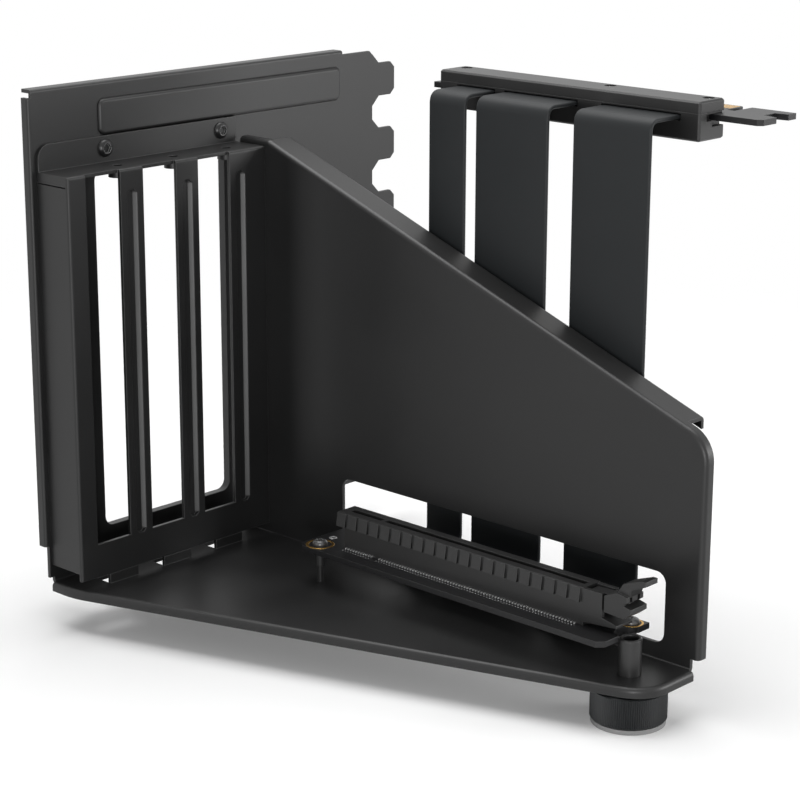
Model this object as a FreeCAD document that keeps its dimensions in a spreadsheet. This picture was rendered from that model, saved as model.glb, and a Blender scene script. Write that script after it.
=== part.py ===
# Vertical graphics-card bracket with its riser cable, as a parametric document in millimetres.
# Frame: +X runs from the rear plate along the side panel, +Y from the card side to the board side, +Z up.
# The origin is the middle screw hole of the ear rail, where the bracket is fixed to a computer case.
# All sketches share one datum: rear plate's front face (x), side panel's card face (y), ledge top (z).
import FreeCAD, Part
import functools
import math
import os
import re
import Sketcher

doc = FreeCAD.newDocument("vertical_card_bracket")
sheet = doc.addObject("Spreadsheet::Sheet", "Sizes")

SIZES = [
    # Sheet metal
    ("gauge", 1.0, "thickness of every sheet"),
    ("bend_in", 0.35, "inside radius of the chassis bends"),
    ("tight_bend", 0.8, "outside radius of the tight bends"),
    ("relief", 1.2, "bend relief beside each fold"),
    # Standard card-slot grid
    ("slot_pitch", 20.32, "distance between card slots"),
    ("tongue_count", 7, "tongues on the rear plate"),
    ("cage_slots", 3, "card openings in the cage"),
    # Ear rail behind the rear plate
    ("ear_setback", 8.0, "screw holes behind the rear plate's front face"),
    ("ear_to_panel", 55.0, "ear rail's seat to the side panel's card face"),
    ("ear_reach", 13.4, "rail flange behind the rear plate"),
    ("ear_foot", 10.0, "rail foot on the rear plate"),
    ("ear_hole", 4.4, "ear screw hole"),
    ("ear_margin", 8.3, "rail beyond its end holes"),
    ("ear_corner", 2.2, "rail's corner radius"),
    # Rear plate
    ("first_tongue", 12.03, "top tongue's centre above the ledge"),
    ("plate_left", 74.85, "rear plate's card-side edge from the panel"),
    ("plate_right", 58.84, "rear plate's notch line from the panel"),
    ("plate_top", 21.15, "rear plate above the ledge"),
    ("tongue_reach", 9.9, "tongue beyond the notch line"),
    ("tongue_width", 10.2, "tongue width"),
    ("tongue_tip", 6.7, "flat of the tongue's tip"),
    ("tongue_flare", 2.96, "45 degree flare at the tongue's root"),
    ("lip_rise", 1.2, "top lip above the plate"),
    ("lip_depth", 4.0, "top lip behind the front face"),
    ("lip_end", 45.7, "top lip's end beyond the panel"),
    ("hem_step", 1.2, "side hem beyond the plate below it"),
    ("hem_depth", 2.8, "side hem behind the front face"),
    ("hem_low", 10.6, "side hem's low end above the floor"),
    ("recess_left", 50.8, "stamped recess, card side of the panel"),
    ("recess_right", 44.3, "stamped recess, board side of the panel"),
    ("recess_low", 7.4, "stamped recess above the ledge"),
    ("recess_tall", 10.2, "stamped recess height"),
    ("recess_deep", 1.4, "stamped recess depth"),
    ("stamp_corner", 2.0, "stamped recess corner radius"),
    ("vent_left", 52.7, "rear window, far edge from the panel"),
    ("vent_right", 4.0, "rear window, near edge from the panel"),
    ("vent_high", 2.2, "rear window's top below the ledge"),
    ("vent_low", 11.6, "rear window's foot above the floor"),
    ("vent_corner", 3.0, "rear window corner radius"),
    ("vent_rim", 1.5, "rear window's turned-out rim"),
    # Floor
    ("cage_height", 118.2, "floor's top below the ledge"),
    ("rim_depth", 2.7, "down-turned rim below the floor's top"),
    ("corner_gap", 0.5, "rim's front end short of the panel"),
    ("rim_start", 0.5, "rim's rear end from the rear plate"),
    ("floor_left", 73.4, "floor's card-side edge from the panel"),
    ("floor_shoulder", 9.5, "where the slanted edge begins"),
    ("floor_right", 172.4, "floor length from the rear plate"),
    ("nose_side", 19.6, "slanted edge's front end from the panel"),
    ("nose_radius", 10.4, "front corner radius of the floor"),
    ("shoulder_radius", 24.0, "corner radius at the shoulder"),
    ("lance_width", 10.4, "tongue slot in the floor"),
    ("lance_edge", 52.1, "far tongue slot's near edge from the panel"),
    ("lance_length", 4.9, "tongue slot along the bracket"),
    # Side panel
    ("panel_start", 2.8, "panel's rear edge from the rear plate"),
    ("panel_top", 1.7, "panel's top above the ledge"),
    ("slope_start", 14.4, "where the sloped top begins"),
    ("slope_angle", 20.0, "slope of the panel's top, degrees"),
    ("panel_right", 173.4, "panel length from the rear plate"),
    ("panel_corner", 9.0, "front corner radius of the panel"),
    ("edge_lip", 3.2, "lip round the panel's edge"),
    ("edge_lip_low", 2.8, "lip's low end above the floor"),
    ("fold_gap", 0.2, "panel's bottom fold short of the rim's bend"),
    ("flange_depth", 10.0, "stiffening flange on the sloped top"),
    ("flange_end", 164.9, "flange's front end"),
    ("flange_return", 3.2, "flange's down-turned return"),
    ("port_left", 44.6, "cable window's rear edge"),
    ("port_right", 162.1, "cable window's front edge"),
    ("port_low", 4.5, "cable window's foot above the floor"),
    ("port_tall", 19.6, "cable window height"),
    ("port_corner", 3.0, "cable window corner radius"),
    # Card cage
    ("cage_front", 13.3, "cage face in front of the rear plate"),
    ("cage_left", 72.8, "cage's card-side wall from the panel"),
    ("cage_low", 2.9, "cage face above the floor"),
    ("slot_edge", 13.85, "first opening from the panel"),
    ("slot_opening", 12.15, "card opening width"),
    ("wall_rise", 2.2, "card-side wall's foot above the face's foot"),
    ("sill_height", 12.6, "card opening's sill above the floor"),
    ("ledge_lip", 2.8, "lip at the ledge's end"),
    ("lip_seam", 0.4, "seam under that lip"),
    ("cage_flange", 7.4, "screwed flange above the ledge"),
    ("flange_corner", 4.0, "corner radius of that flange"),
    ("bead_width", 3.6, "stiffening bead width"),
    ("bead_deep", 1.2, "stiffening bead depth"),
    ("bead_corner", 1.1, "stiffening bead's corner chamfer"),
    ("bead_top", 6.0, "bead's top below the ledge"),
    ("bead_low", 12.4, "bead's low end above the floor"),
    ("boss_setback", 5.9, "threaded bosses behind the cage face"),
    ("boss_size", 5.2, "threaded boss diameter"),
    ("boss_tall", 2.2, "threaded boss below the ledge"),
    ("boss_bore", 2.85, "tapped bore for a card screw"),
    # Cage screws
    ("cage_screw_far", 49.4, "far cage screw from the panel"),
    ("cage_screw_near", 5.9, "near cage screw from the panel"),
    ("cage_screw_up", 3.9, "cage screws above the ledge"),
    ("button_head", 5.0, "button head diameter"),
    ("button_tall", 1.2, "button head height"),
    ("button_socket", 2.4, "hex socket across its flats"),
    ("button_socket_deep", 0.8, "hex socket depth"),
    ("button_shank", 3.0, "cage screw shank"),
    ("button_reach", 3.2, "cage screw shank length"),
    ("screw_clear", 0.1, "clearance round every screw, on the diameter"),
    # Riser board
    ("board_left", 50.4, "riser board's rear edge"),
    ("board_right", 160.3, "riser board's front edge"),
    ("board_near", 24.2, "riser board's card-side edge from the panel"),
    ("board_far", 4.0, "riser board's far edge from the panel"),
    ("board_up", 11.24, "riser board's top above the floor"),
    ("board_thick", 1.6, "riser board thickness"),
    ("board_chamfer", 1.8, "riser board's corner chamfer"),
    ("post_notch", 8.4, "notch round the foot bush"),
    ("screw_a_x", 55.3, "rear board screw from the rear plate"),
    ("screw_a_y", 20.0, "rear board screw from the panel"),
    ("screw_b_x", 157.0, "front board screw from the rear plate"),
    ("screw_b_y", 7.3, "front board screw from the panel"),
    ("pan_head", 4.4, "board screw head"),
    ("pan_tall", 1.4, "board screw head height"),
    ("cross_long", 2.4, "cross recess length"),
    ("cross_wide", 0.6, "cross recess width"),
    ("cross_deep", 0.7, "cross recess depth"),
    ("pan_shank", 1.9, "board screw shank"),
    ("pan_reach", 5.0, "board screw shank length"),
    ("pillar_stem", 1.8, "pillar's slender foot diameter"),
    ("pillar_foot", 5.0, "slender foot height"),
    ("pillar_neck", 2.9, "pillar neck diameter"),
    # Slot connector
    ("pin_first", 63.65, "first contact from the rear plate"),
    ("pin_pitch", 1.0, "contact pitch"),
    ("key_after", 11, "contacts before the key"),
    ("key_gap", 3.0, "contact spacing across the key"),
    ("pin_count", 82, "contacts in a row"),
    ("slot_middle", 14.15, "slot's middle plane from the panel"),
    ("slot_wide", 6.8, "slot housing width"),
    ("slot_tall", 10.35, "slot housing height"),
    ("slot_head", 3.55, "housing's head beyond the first contact"),
    ("slot_foot", 0.95, "housing's foot beyond the first contact"),
    ("slot_tail", 2.4, "housing beyond the last contact"),
    ("slot_slit", 1.9, "card slit width"),
    ("slit_deep", 8.4, "card slit depth"),
    ("slit_over", 0.75, "slit beyond its end contacts"),
    ("block_count", 21, "grip blocks on each side"),
    ("block_gap", 0.9, "gap between grip blocks"),
    ("block_tall", 3.8, "grip block height"),
    ("block_drop", 0.2, "grip blocks below the housing's top"),
    ("block_brow", 0.3, "grip block relief at its top"),
    ("block_proud", 0.9, "grip block relief at its foot"),
    # Latch
    ("cheek_length", 6.0, "latch cheek length"),
    ("cheek_thick", 1.3, "latch cheek thickness"),
    ("cheek_foot", 3.6, "cheek's low edge above the board"),
    ("cradle_length", 10.8, "latch cradle length"),
    ("cradle_root", 5.2, "cradle's top at the housing, above the board"),
    ("cradle_under", 1.0, "gap under the cradle at the housing"),
    ("cradle_tip", 2.6, "cradle's top at its end, above the board"),
    ("cradle_tip_under", 1.9, "gap under the cradle's end"),
    ("pivot_reach", 3.3, "latch pivot from the housing's end"),
    ("pivot_up", 7.5, "latch pivot above the board"),
    ("pivot_size", 2.0, "latch pivot diameter"),
    ("pivot_skin", 0.4, "cheek's skin outside the pivot's blind bore"),
    ("pivot_clear", 0.16, "clearance of the latch pivot, on the diameter"),
    ("latch_clear", 0.3, "side clearance of the latch"),
    ("lever_start", 0.7, "latch lever's root from the housing's end"),
    ("lever_low", 5.9, "lever root's low edge above the board"),
    ("lever_top", 9.6, "lever root's top above the board"),
    ("head_start", 6.7, "latch head's start from the housing's end"),
    ("head_reach", 15.2, "latch head's end from the housing's end"),
    ("neck_low", 5.5, "latch head's low edge at its start"),
    ("neck_top", 9.9, "latch head's top at its start"),
    ("chin_back", 2.2, "latch head's chin behind its end"),
    ("chin_up", 5.1, "chin above the board"),
    ("nose_low", 6.8, "end face's low edge above the board"),
    ("nose_high", 8.1, "end face's top above the board"),
    ("notch_back", 2.4, "thumb notch behind the end face"),
    ("notch_up", 8.7, "thumb notch above the board"),
    ("brow_back", 1.2, "brow behind the end face"),
    ("brow_low", 9.6, "brow's low edge above the board"),
    ("brow_high", 11.1, "brow's top above the board"),
    ("ridge_back", 4.6, "head's ridge behind the end face"),
    ("ridge_up", 11.6, "head's ridge above the board"),
    ("finger_wide", 5.0, "latch finger width"),
    ("finger_root", 5.2, "finger's root behind the end face"),
    ("finger_low", 11.0, "finger's root above the board"),
    ("finger_front", 0.4, "finger's bend behind the end face"),
    ("finger_bend", 13.2, "finger's bend above the board"),
    ("finger_reach", 19.0, "finger tip from the housing's end"),
    ("finger_up", 16.3, "finger tip above the board"),
    ("finger_face", 1.3, "finger tip's flats"),
    ("finger_heel", 3.2, "finger's heel behind the end face"),
    ("finger_heel_up", 14.2, "finger's heel above the board"),
    ("window_side", 1.6, "head windows from the middle plane"),
    ("window_wide", 1.1, "head window width"),
    ("window_low", 8.6, "head windows above the board"),
    ("window_tall", 2.3, "head window height"),
    ("window_deep", 3.6, "head window depth"),
    # Foot
    ("foot_x", 161.1, "foot axis from the rear plate"),
    ("foot_y", 12.9, "foot axis from the panel"),
    ("bush_size", 6.1, "threaded bush diameter"),
    ("bush_tall", 9.9, "threaded bush above the floor"),
    ("bush_edge", 0.3, "bush's edge chamfer"),
    ("bush_shank", 4.9, "bush shank in the floor"),
    ("stud_size", 3.9, "foot stud diameter"),
    ("stud_clear", 0.16, "clearance of the stud in its bush, on the diameter"),
    ("stud_up", 7.2, "stud's end above the floor"),
    ("stud_root", 5.5, "stud's depth in the knob"),
    ("knob_size", 20.2, "knob diameter"),
    ("knob_tall", 8.3, "knob height"),
    ("knob_gap", 3.4, "knob's top below the floor's top"),
    ("knob_edge", 0.25, "knob's edge chamfer"),
    ("pad_size", 19.6, "foot pad diameter"),
    ("pad_tall", 1.2, "foot pad below the knob"),
    ("pad_stem", 5.0, "foot pad's stem"),
    ("pad_stem_tall", 1.6, "foot pad's stem height"),
    ("pad_clear", 0.15, "running clearance between pad and knob"),
    # Riser cable plug
    ("plug_head", 3.75, "plug's rear end before the first contact"),
    ("plug_tail", 3.25, "plug's front end beyond the last contact"),
    ("plug_near", 24.0, "plug's near face behind the panel"),
    ("plug_deep", 10.9, "plug depth"),
    ("plug_low", 13.9, "plug's underside above the ledge"),
    ("plug_seam", 21.2, "plug's seam above the ledge"),
    ("plug_top", 24.3, "plug's top above the ledge"),
    ("plug_edge", 0.5, "plug's edge chamfer"),
    ("card_low", 19.0, "edge card's underside above the ledge"),
    ("card_thick", 1.6, "edge card thickness"),
    ("card_near", 3.0, "edge card's near edge inside the plug"),
    ("card_edge", 22.5, "edge card's contact edge from the plug's near face"),
    ("card_margin", 1.35, "edge card beyond its end contacts"),
    ("card_key", 1.8, "key slot in the edge card"),
    ("card_key_deep", 8.0, "key slot depth"),
    ("card_tail", 14.8, "edge card's tail beyond the plug"),
    ("card_nub", 2.6, "edge card's nub at the plug's rear end"),
    ("nub_near", 0.6, "nub's near edge from the plug's near face"),
    ("tail_near", 5.8, "tail's near edge from the plug's near face"),
    ("tail_bevel", 1.2, "tail's corner chamfer"),
    ("tail_far", 12.7, "tail's far edge from the plug's near face"),
    ("waist_deep", 4.4, "waist beside the tail"),
    ("waist_slope", 0.6, "slope of the waist's sides"),
    ("waist_far", 18.4, "waist's far edge from the plug's near face"),
    ("hook_back", 0.6, "hook's end behind the tail's end"),
    ("hook_gap", 2.4, "gap between contacts and hook"),
    ("card_bevel", 0.8, "contact edge's corner chamfer"),
    ("card_pocket", 1.6, "plug's pocket under the tail"),
    ("plug_screw_far", 8.0, "plug screws from the near face"),
    ("plug_screw_end", 3.2, "end plug screws from the plug's ends"),
    ("plug_screw_mid", 54.6, "middle plug screw from the plug's rear end"),
    ("plug_screw", 3.2, "plug screw head"),
    ("plug_screw_tall", 1.0, "plug screw head height"),
    ("plug_screw_sink", 0.3, "plug screw head below the lid's top"),
    ("plug_socket", 1.6, "plug screw socket across its flats"),
    ("plug_socket_deep", 0.6, "plug screw socket depth"),
    ("plug_shank", 1.6, "plug screw shank"),
    ("plug_screw_reach", 5.0, "plug screw shank below its head"),
    # Riser ribbons
    ("ribbon_thick", 1.2, "ribbon thickness"),
    ("ribbon_run", 12.5, "ribbon's middle plane behind the panel"),
    ("ribbon_bend", 3.0, "ribbon's bend radius"),
    ("ribbon_end", 12.0, "ribbon's end under the board from the panel"),
    ("ribbon_slack", 0.3, "plug opening beyond each ribbon"),
    ("ribbon_one", 66.9, "first ribbon's rear edge"),
    ("ribbon_one_wide", 13.3, "first ribbon's width"),
    ("ribbon_two", 84.1, "second ribbon's rear edge"),
    ("ribbon_two_wide", 25.4, "second ribbon's width"),
    ("ribbon_three", 118.1, "third ribbon's rear edge"),
    ("ribbon_three_wide", 25.4, "third ribbon's width"),
]
for row, (alias, value, meaning) in enumerate(SIZES, 1):
    sheet.set(f"A{row}", meaning)
    sheet.set(f"B{row}", str(value))
    sheet.setAlias(f"B{row}", alias)
doc.recompute()
ALIASES = {alias for alias, value, meaning in SIZES}


def size(text):
    """The expression that reads the named cells in text."""
    return re.sub(r"[a-z_]+", lambda word: f"Sizes.{word[0]}" if word[0] in ALIASES else word[0], str(text))


@functools.cache
def number(text):
    """The present value of such an expression."""
    return float(sheet.evalExpression(size(text)))


def count(alias):
    return int(round(number(alias)))


DATUM = {
    "x": "ear_setback",
    "y": "ear_to_panel",
    "z": f"{(count('tongue_count') - 1) // 2} * slot_pitch - first_tongue",
}


def rect(left, low, right, high):
    return [(left, low), (right, low), (right, high), (left, high)]


def ring(across, up, diameter):
    return ("ring", across, up, diameter)


def hexagon(across, up, flats):
    """A hexagon with two corners level with its middle."""
    reach = f"({flats}) / {math.sqrt(3):.6f}"
    half, flat = f"{reach} / 2", f"({flats}) / 2"
    sides = ((reach, "0"), (half, flat), (f"-{half}", flat), (f"-{reach}", "0"), (f"-{half}", f"-{flat}"),
             (half, f"-{flat}"))
    return [(f"({across}) + ({dx})", f"({up}) + ({dy})") for dx, dy in sides]


def fix(kind, line, point, text):
    """A dimension from the sketch's origin, with the expression that drives it."""
    return Sketcher.Constraint(kind, -1, 1, line, point, number(text)), text


def trace_polygon(corners, first):
    """The lines through some corners and the rules that hold them; first is the first line's number."""
    places = [FreeCAD.Vector(number(across), number(up), 0) for across, up in corners]
    lines, rules = [], []
    for index, (across, up) in enumerate(corners):
        after = (index + 1) % len(corners)
        lines.append(Part.LineSegment(places[index], places[after]))
        rules.append((Sketcher.Constraint("Coincident", first + index, 2, first + after, 1), None))
        rules.append(fix("DistanceX", first + index, 1, across))
        rules.append(fix("DistanceY", first + index, 1, up))
    return lines, rules


def trace_ring(circle, first):
    across, up, diameter = circle[1:]
    middle = FreeCAD.Vector(number(across), number(up), 0)
    line = Part.Circle(middle, FreeCAD.Vector(0, 0, 1), number(diameter) / 2)
    rules = [fix("DistanceX", first, 3, across), fix("DistanceY", first, 3, up),
             (Sketcher.Constraint("Diameter", first, number(diameter)), diameter)]
    return [line], rules


class Piece:
    """One sub-part: a body whose sketches are drawn between two levels of the datum frame."""

    def __init__(self, name):
        self.body = doc.addObject("PartDesign::Body", name)
        self.body.Label = name
        self.body.AllowCompound = True
        for axis, value in DATUM.items():
            self.body.setExpression("Placement.Base." + axis, size(value))

    def settle(self, item):
        """Computes one object, which then needs no second run."""
        item.recompute()
        item.purgeTouched()

    def sketch(self, plane, level, outlines):
        """A fully dimensioned sketch parallel to an origin plane; XZ sketches face -Y."""
        drawn = self.body.newObject("Sketcher::SketchObject", self.body.Name + "_outline")
        support = next(face for face in self.body.Origin.OriginFeatures if face.Role == plane + "_Plane")
        drawn.AttachmentSupport = (support, [""])
        drawn.MapMode = "FlatFace"
        drawn.setExpression("AttachmentOffset.Base.z", size(f"-({level})" if plane == "XZ" else level))
        lines, rules = [], []
        for outline in outlines:
            trace = trace_ring if outline[0] == "ring" else trace_polygon
            more_lines, more_rules = trace(outline, len(lines))
            lines += more_lines
            rules += more_rules
        drawn.addGeometry(lines, False)
        drawn.addConstraint([rule for rule, text in rules])
        for index, (rule, text) in enumerate(rules):
            if text is not None:
                drawn.setExpression(f"Constraints[{index}]", size(text))
        self.settle(drawn)
        return drawn

    def add(self, kind, drawn, low, high, backwards):
        feature = self.body.newObject("PartDesign::" + kind, f"{self.body.Name}_{kind}".lower())
        feature.Profile = drawn
        feature.setExpression("Length", size(f"({high}) - ({low})"))
        feature.Reversed = backwards
        self.settle(feature)
        return feature

    def pad(self, plane, low, high, *outlines):
        return self.add("Pad", self.sketch(plane, low, outlines), low, high, plane == "XZ")

    def pocket(self, plane, low, high, *outlines):
        before = self.body.Tip.Shape.Volume
        start = low if plane == "XZ" else high
        feature = self.add("Pocket", self.sketch(plane, start, outlines), low, high, False)
        if feature.Shape.Volume > before - 1e-6:
            raise RuntimeError(f"a pocket of {self.body.Label} cuts nothing")
        return feature

    def repeat(self, feature, times, span):
        """Repeats a feature square to its sketch; span is from the first to the last."""
        pattern = self.body.newObject("PartDesign::LinearPattern", self.body.Name + "_pattern")
        pattern.Originals = [feature]
        pattern.Direction = (feature.Profile[0], ["N_Axis"])
        pattern.setExpression("Occurrences", size(times))
        pattern.setExpression("Length", size(span))
        self.body.Tip = pattern
        self.settle(pattern)
        return pattern

    def edges(self, test):
        """The names of the last feature's edges whose two ends and middle pass the test."""
        names = []
        for index, edge in enumerate(self.body.Tip.Shape.Edges, 1):
            ends = [vertex.Point for vertex in edge.Vertexes]
            middle = edge.valueAt((edge.FirstParameter + edge.LastParameter) / 2)
            if test(ends + [middle]):
                names.append(f"Edge{index}")
        return names

    def dress(self, kind, alias, test):
        base = self.body.Tip
        names = self.edges(test)
        if not names:
            raise RuntimeError(f"no edge of {self.body.Label} to round by {alias}")
        feature = self.body.newObject("PartDesign::" + kind, f"{self.body.Name}_{kind}".lower())
        feature.Base = (base, names)
        feature.setExpression("Size" if kind == "Chamfer" else "Radius", size(alias))
        self.settle(feature)
        change = feature.Shape.Volume - base.Shape.Volume
        if abs(change) < 1e-6 or abs(change) > base.Shape.Volume / 4:
            raise RuntimeError(f"an edge of {self.body.Label} isn't rounded by {alias}")
        return feature

    def round(self, alias, test):
        return self.dress("Fillet", alias, test)

    def round_corners(self, alias, plane, corners, kind="Fillet"):
        """Rounds or chamfers the edges that cross a plane at the given corners."""
        across, up = (("x", "y"), ("x", "z"), ("y", "z"))[("XY", "XZ", "YZ").index(plane)]
        places = [(number(u), number(v)) for u, v in corners]

        def crosses(points):
            return any(all(math.hypot(getattr(p, across) - u, getattr(p, up) - v) < 1e-4 for p in points)
                       for u, v in places)
        return self.dress(kind, alias, crosses)


def near(value, text):
    return abs(value - number(text)) < 1e-4


FLOOR = "-cage_height"
UNDER = "(-cage_height - gauge)"
SLOPE = "tan(slope_angle)"


def slope_at(across, drop="0"):
    """Height of the panel's outer top line, less a thickness measured square to the slope."""
    return f"panel_top - (({across}) - slope_start) * {SLOPE} - ({drop}) / cos(slope_angle)"


def tongue(index):
    return f"(first_tongue - {index} * slot_pitch)"


def card_slot(index):
    """The two sides of a cage opening, counted from the panel."""
    near_side = f"(-slot_edge - {index} * slot_pitch)"
    return f"({near_side} - slot_opening)", near_side


def bar_middle(index):
    """The middle of the bar or post on the panel side of a cage opening."""
    return f"(-slot_edge + (slot_pitch - slot_opening) / 2 - {index} * slot_pitch)"


# Chassis: rear plate, floor and side panel, folded from one sheet

chassis = Piece("chassis")
plate_low = f"{FLOOR} + relief"
hem_edge = "(-plate_left + hem_step)"
hem_foot = f"{FLOOR} + hem_low"
fold_left = "(-floor_left + bend_in + gauge)"
chassis.pad("YZ", "-gauge", "0", [
    (hem_edge, plate_low), (fold_left, plate_low), (fold_left, FLOOR), ("-relief", FLOOR),
    ("-relief", plate_low), ("plate_right", plate_low), ("plate_right", "plate_top - lip_rise"),
    ("plate_right - lip_rise", "plate_top"), ("lip_end", "plate_top"), ("lip_end", "plate_top + lip_rise"),
    (hem_edge, "plate_top + lip_rise"), (hem_edge, "plate_top - gauge"),
    ("-plate_left", "plate_top - gauge"), ("-plate_left", hem_foot), (hem_edge, hem_foot)])
chassis.pad("YZ", "-gauge", "0", *[[
    ("plate_right", f"{tongue(k)} - tongue_width / 2 - tongue_flare"),
    ("plate_right + tongue_flare", f"{tongue(k)} - tongue_width / 2"),
    ("plate_right + tongue_reach - (tongue_width - tongue_tip) / 2", f"{tongue(k)} - tongue_width / 2"),
    ("plate_right + tongue_reach", f"{tongue(k)} - tongue_tip / 2"),
    ("plate_right + tongue_reach", f"{tongue(k)} + tongue_tip / 2"),
    ("plate_right + tongue_reach - (tongue_width - tongue_tip) / 2", f"{tongue(k)} + tongue_width / 2"),
    ("plate_right + tongue_flare", f"{tongue(k)} + tongue_width / 2"),
    ("plate_right", f"{tongue(k)} + tongue_width / 2 + tongue_flare")] for k in range(count("tongue_count"))])
lip_top = "plate_top + lip_rise"
chassis.pad("YZ", "-lip_depth", "-gauge", rect(hem_edge, f"{lip_top} - gauge", "lip_end", lip_top))
chassis.pad("YZ", "-hem_depth", "-gauge", rect(
    "-plate_left", hem_foot, "-plate_left + gauge", "plate_top - gauge"))
chassis.round("tight_bend", lambda points: all(near(p.x, "0") and near(p.z, lip_top) for p in points))
chassis.round("tight_bend", lambda points: all(near(p.x, "0") and near(p.y, "-plate_left") for p in points))

# The stamped recess and the rimmed window of the rear plate
stamp = ("-recess_left", "recess_low", "recess_right", "recess_low + recess_tall")
stamp_back = [f"({side}) {grow} gauge" for side, grow in zip(stamp, "--++")]
chassis.pad("YZ", "-gauge - recess_deep", "-gauge", rect(*stamp_back))
chassis.pocket("YZ", "-recess_deep", "0", rect(*stamp))
chassis.round_corners("stamp_corner", "YZ", rect(*stamp))
chassis.round_corners("stamp_corner + gauge", "YZ", rect(*stamp_back))
vent = ("-vent_left", f"{FLOOR} + vent_low", "-vent_right", "-vent_high")
vent_back = [f"({side}) {grow} gauge" for side, grow in zip(vent, "--++")]
chassis.pad("YZ", "-gauge - vent_rim", "-gauge", rect(*vent_back))
chassis.pocket("YZ", "-gauge - vent_rim", "0", rect(*vent))
chassis.round_corners("vent_corner", "YZ", rect(*vent))
chassis.round_corners("vent_corner + gauge", "YZ", rect(*vent_back))
chassis.pocket("YZ", "-gauge", "0", *[ring(f"-{side}", "cage_screw_up", "button_shank + screw_clear")
                                      for side in ("cage_screw_far", "cage_screw_near")])

# The floor, its rim and the slots that take a card's tongue
rim_left = "(-floor_left)"
fold_end = "(floor_right - bend_in - gauge - fold_gap)"
nose = ("floor_right", "-nose_side")
shoulder = ("floor_shoulder", rim_left)
slant = "((floor_left - nose_side) / (floor_right - floor_shoulder))"
slant_back = f"gauge * sqrt(1 + {slant} ^ 2)"
inner_shoulder = (f"floor_shoulder + (gauge - {slant_back}) / {slant}", f"{rim_left} + gauge")
inner_nose = ("floor_right - gauge", f"-nose_side - gauge * {slant} + {slant_back}")
chassis.pad("XY", UNDER, FLOOR, [
    ("-gauge", fold_left), ("rim_start", fold_left), ("rim_start", rim_left), shoulder, nose,
    ("floor_right", "-corner_gap"), (fold_end, "-corner_gap"), (fold_end, "gauge"), ("panel_start", "gauge"),
    ("panel_start", "-relief"), ("-gauge", "-relief")])
chassis.pad("XY", f"{FLOOR} - rim_depth", UNDER, [
    ("rim_start", rim_left), shoulder, nose, ("floor_right", "-corner_gap"), ("floor_right - gauge", "-corner_gap"),
    inner_nose, inner_shoulder, ("rim_start", f"{rim_left} + gauge")])
chassis.round_corners("nose_radius", "XY", [nose])
chassis.round_corners("nose_radius - gauge", "XY", [inner_nose])
chassis.round_corners("shoulder_radius", "XY", [shoulder])
chassis.round_corners("shoulder_radius - gauge", "XY", [inner_shoulder])


def on_rim_top(points):
    """The outer edge of the floor's top, from the rear plate round the nose to the panel."""
    if not all(near(p.z, FLOOR) for p in points):
        return False
    middle = points[-1]
    line = number(rim_left) + (middle.x - number("floor_shoulder")) * number(slant)
    on_slant = abs(middle.y - line) < number("rim_depth - gauge") and middle.x > number("floor_shoulder")
    on_left = near(middle.y, rim_left)
    on_front = near(middle.x, "floor_right")
    corner = FreeCAD.Vector(number(nose[0]), number(nose[1]), middle.z)
    return on_slant or on_left or on_front or (middle - corner).Length < number("nose_radius") / 2


chassis.round("bend_in + gauge", on_rim_top)
chassis.round("bend_in + gauge", lambda points: all(near(p.x, "-gauge") and near(p.z, UNDER) for p in points))
chassis.round("bend_in", lambda points: all(near(p.x, "0") and near(p.z, FLOOR) for p in points))
lances = [(f"-lance_edge - lance_width + {k} * slot_pitch", f"-lance_edge + {k} * slot_pitch")
          for k in range(count("cage_slots"))]
chassis.pocket("XY", UNDER, FLOOR, *[
    rect("cage_front - gauge - lance_length", far, "cage_front - gauge", close) for far, close in lances])
chassis.pad("XY", FLOOR, f"{FLOOR} + cage_low - screw_clear", *[
    rect("cage_front - gauge", far, "cage_front", close) for far, close in lances])

# The side panel with its lip, stiffening flange and cable window
panel_peak = ("panel_right", slope_at("panel_right"))
inner_peak = ("panel_right - gauge", slope_at("panel_right - gauge", "gauge"))
knee = ("slope_start", "panel_top")
inner_knee = ("slope_start - gauge * tan(slope_angle / 2)", "panel_top - gauge")
lip_low = f"{FLOOR} + edge_lip_low"
chassis.pad("XZ", "0", "gauge", [
    ("panel_start", FLOOR), (fold_end, FLOOR), (fold_end, lip_low), ("panel_right", lip_low),
    panel_peak, knee, ("panel_start", "panel_top")])
chassis.pad("XZ", "gauge", "edge_lip", [
    ("panel_right", lip_low), panel_peak, knee, ("panel_start", "panel_top"),
    ("panel_start", "panel_top - gauge"), inner_knee, inner_peak, ("panel_right - gauge", lip_low)])
chassis.round_corners("panel_corner", "XZ", [panel_peak])
chassis.round_corners("panel_corner - gauge", "XZ", [inner_peak])
flange_top = [(across, slope_at(across)) for across in ("slope_start", "flange_end")]
chassis.pad("XZ", "edge_lip", "flange_depth", flange_top + [
    (across, slope_at(across, "gauge")) for across in ("flange_end", "slope_start")])
chassis.pad("XZ", "flange_depth - gauge", "flange_depth", flange_top + [
    (across, slope_at(across, "flange_return")) for across in ("flange_end", "slope_start")])


def on_panel_edge(points):
    """The card-side outline of the panel from its rear end over the slope and down the front."""
    if not all(near(p.y, "0") for p in points):
        return False
    middle = points[-1]
    on_top = near(middle.z, "panel_top") and middle.x < number("slope_start")
    on_slope = near(middle.z, slope_at(f"{middle.x:.9f}"))
    on_front = near(middle.x, "panel_right")
    peak = FreeCAD.Vector(number(panel_peak[0]), 0, number(panel_peak[1]))
    return on_top or on_slope or on_front or (middle - peak).Length < number("panel_corner") / 2


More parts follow.
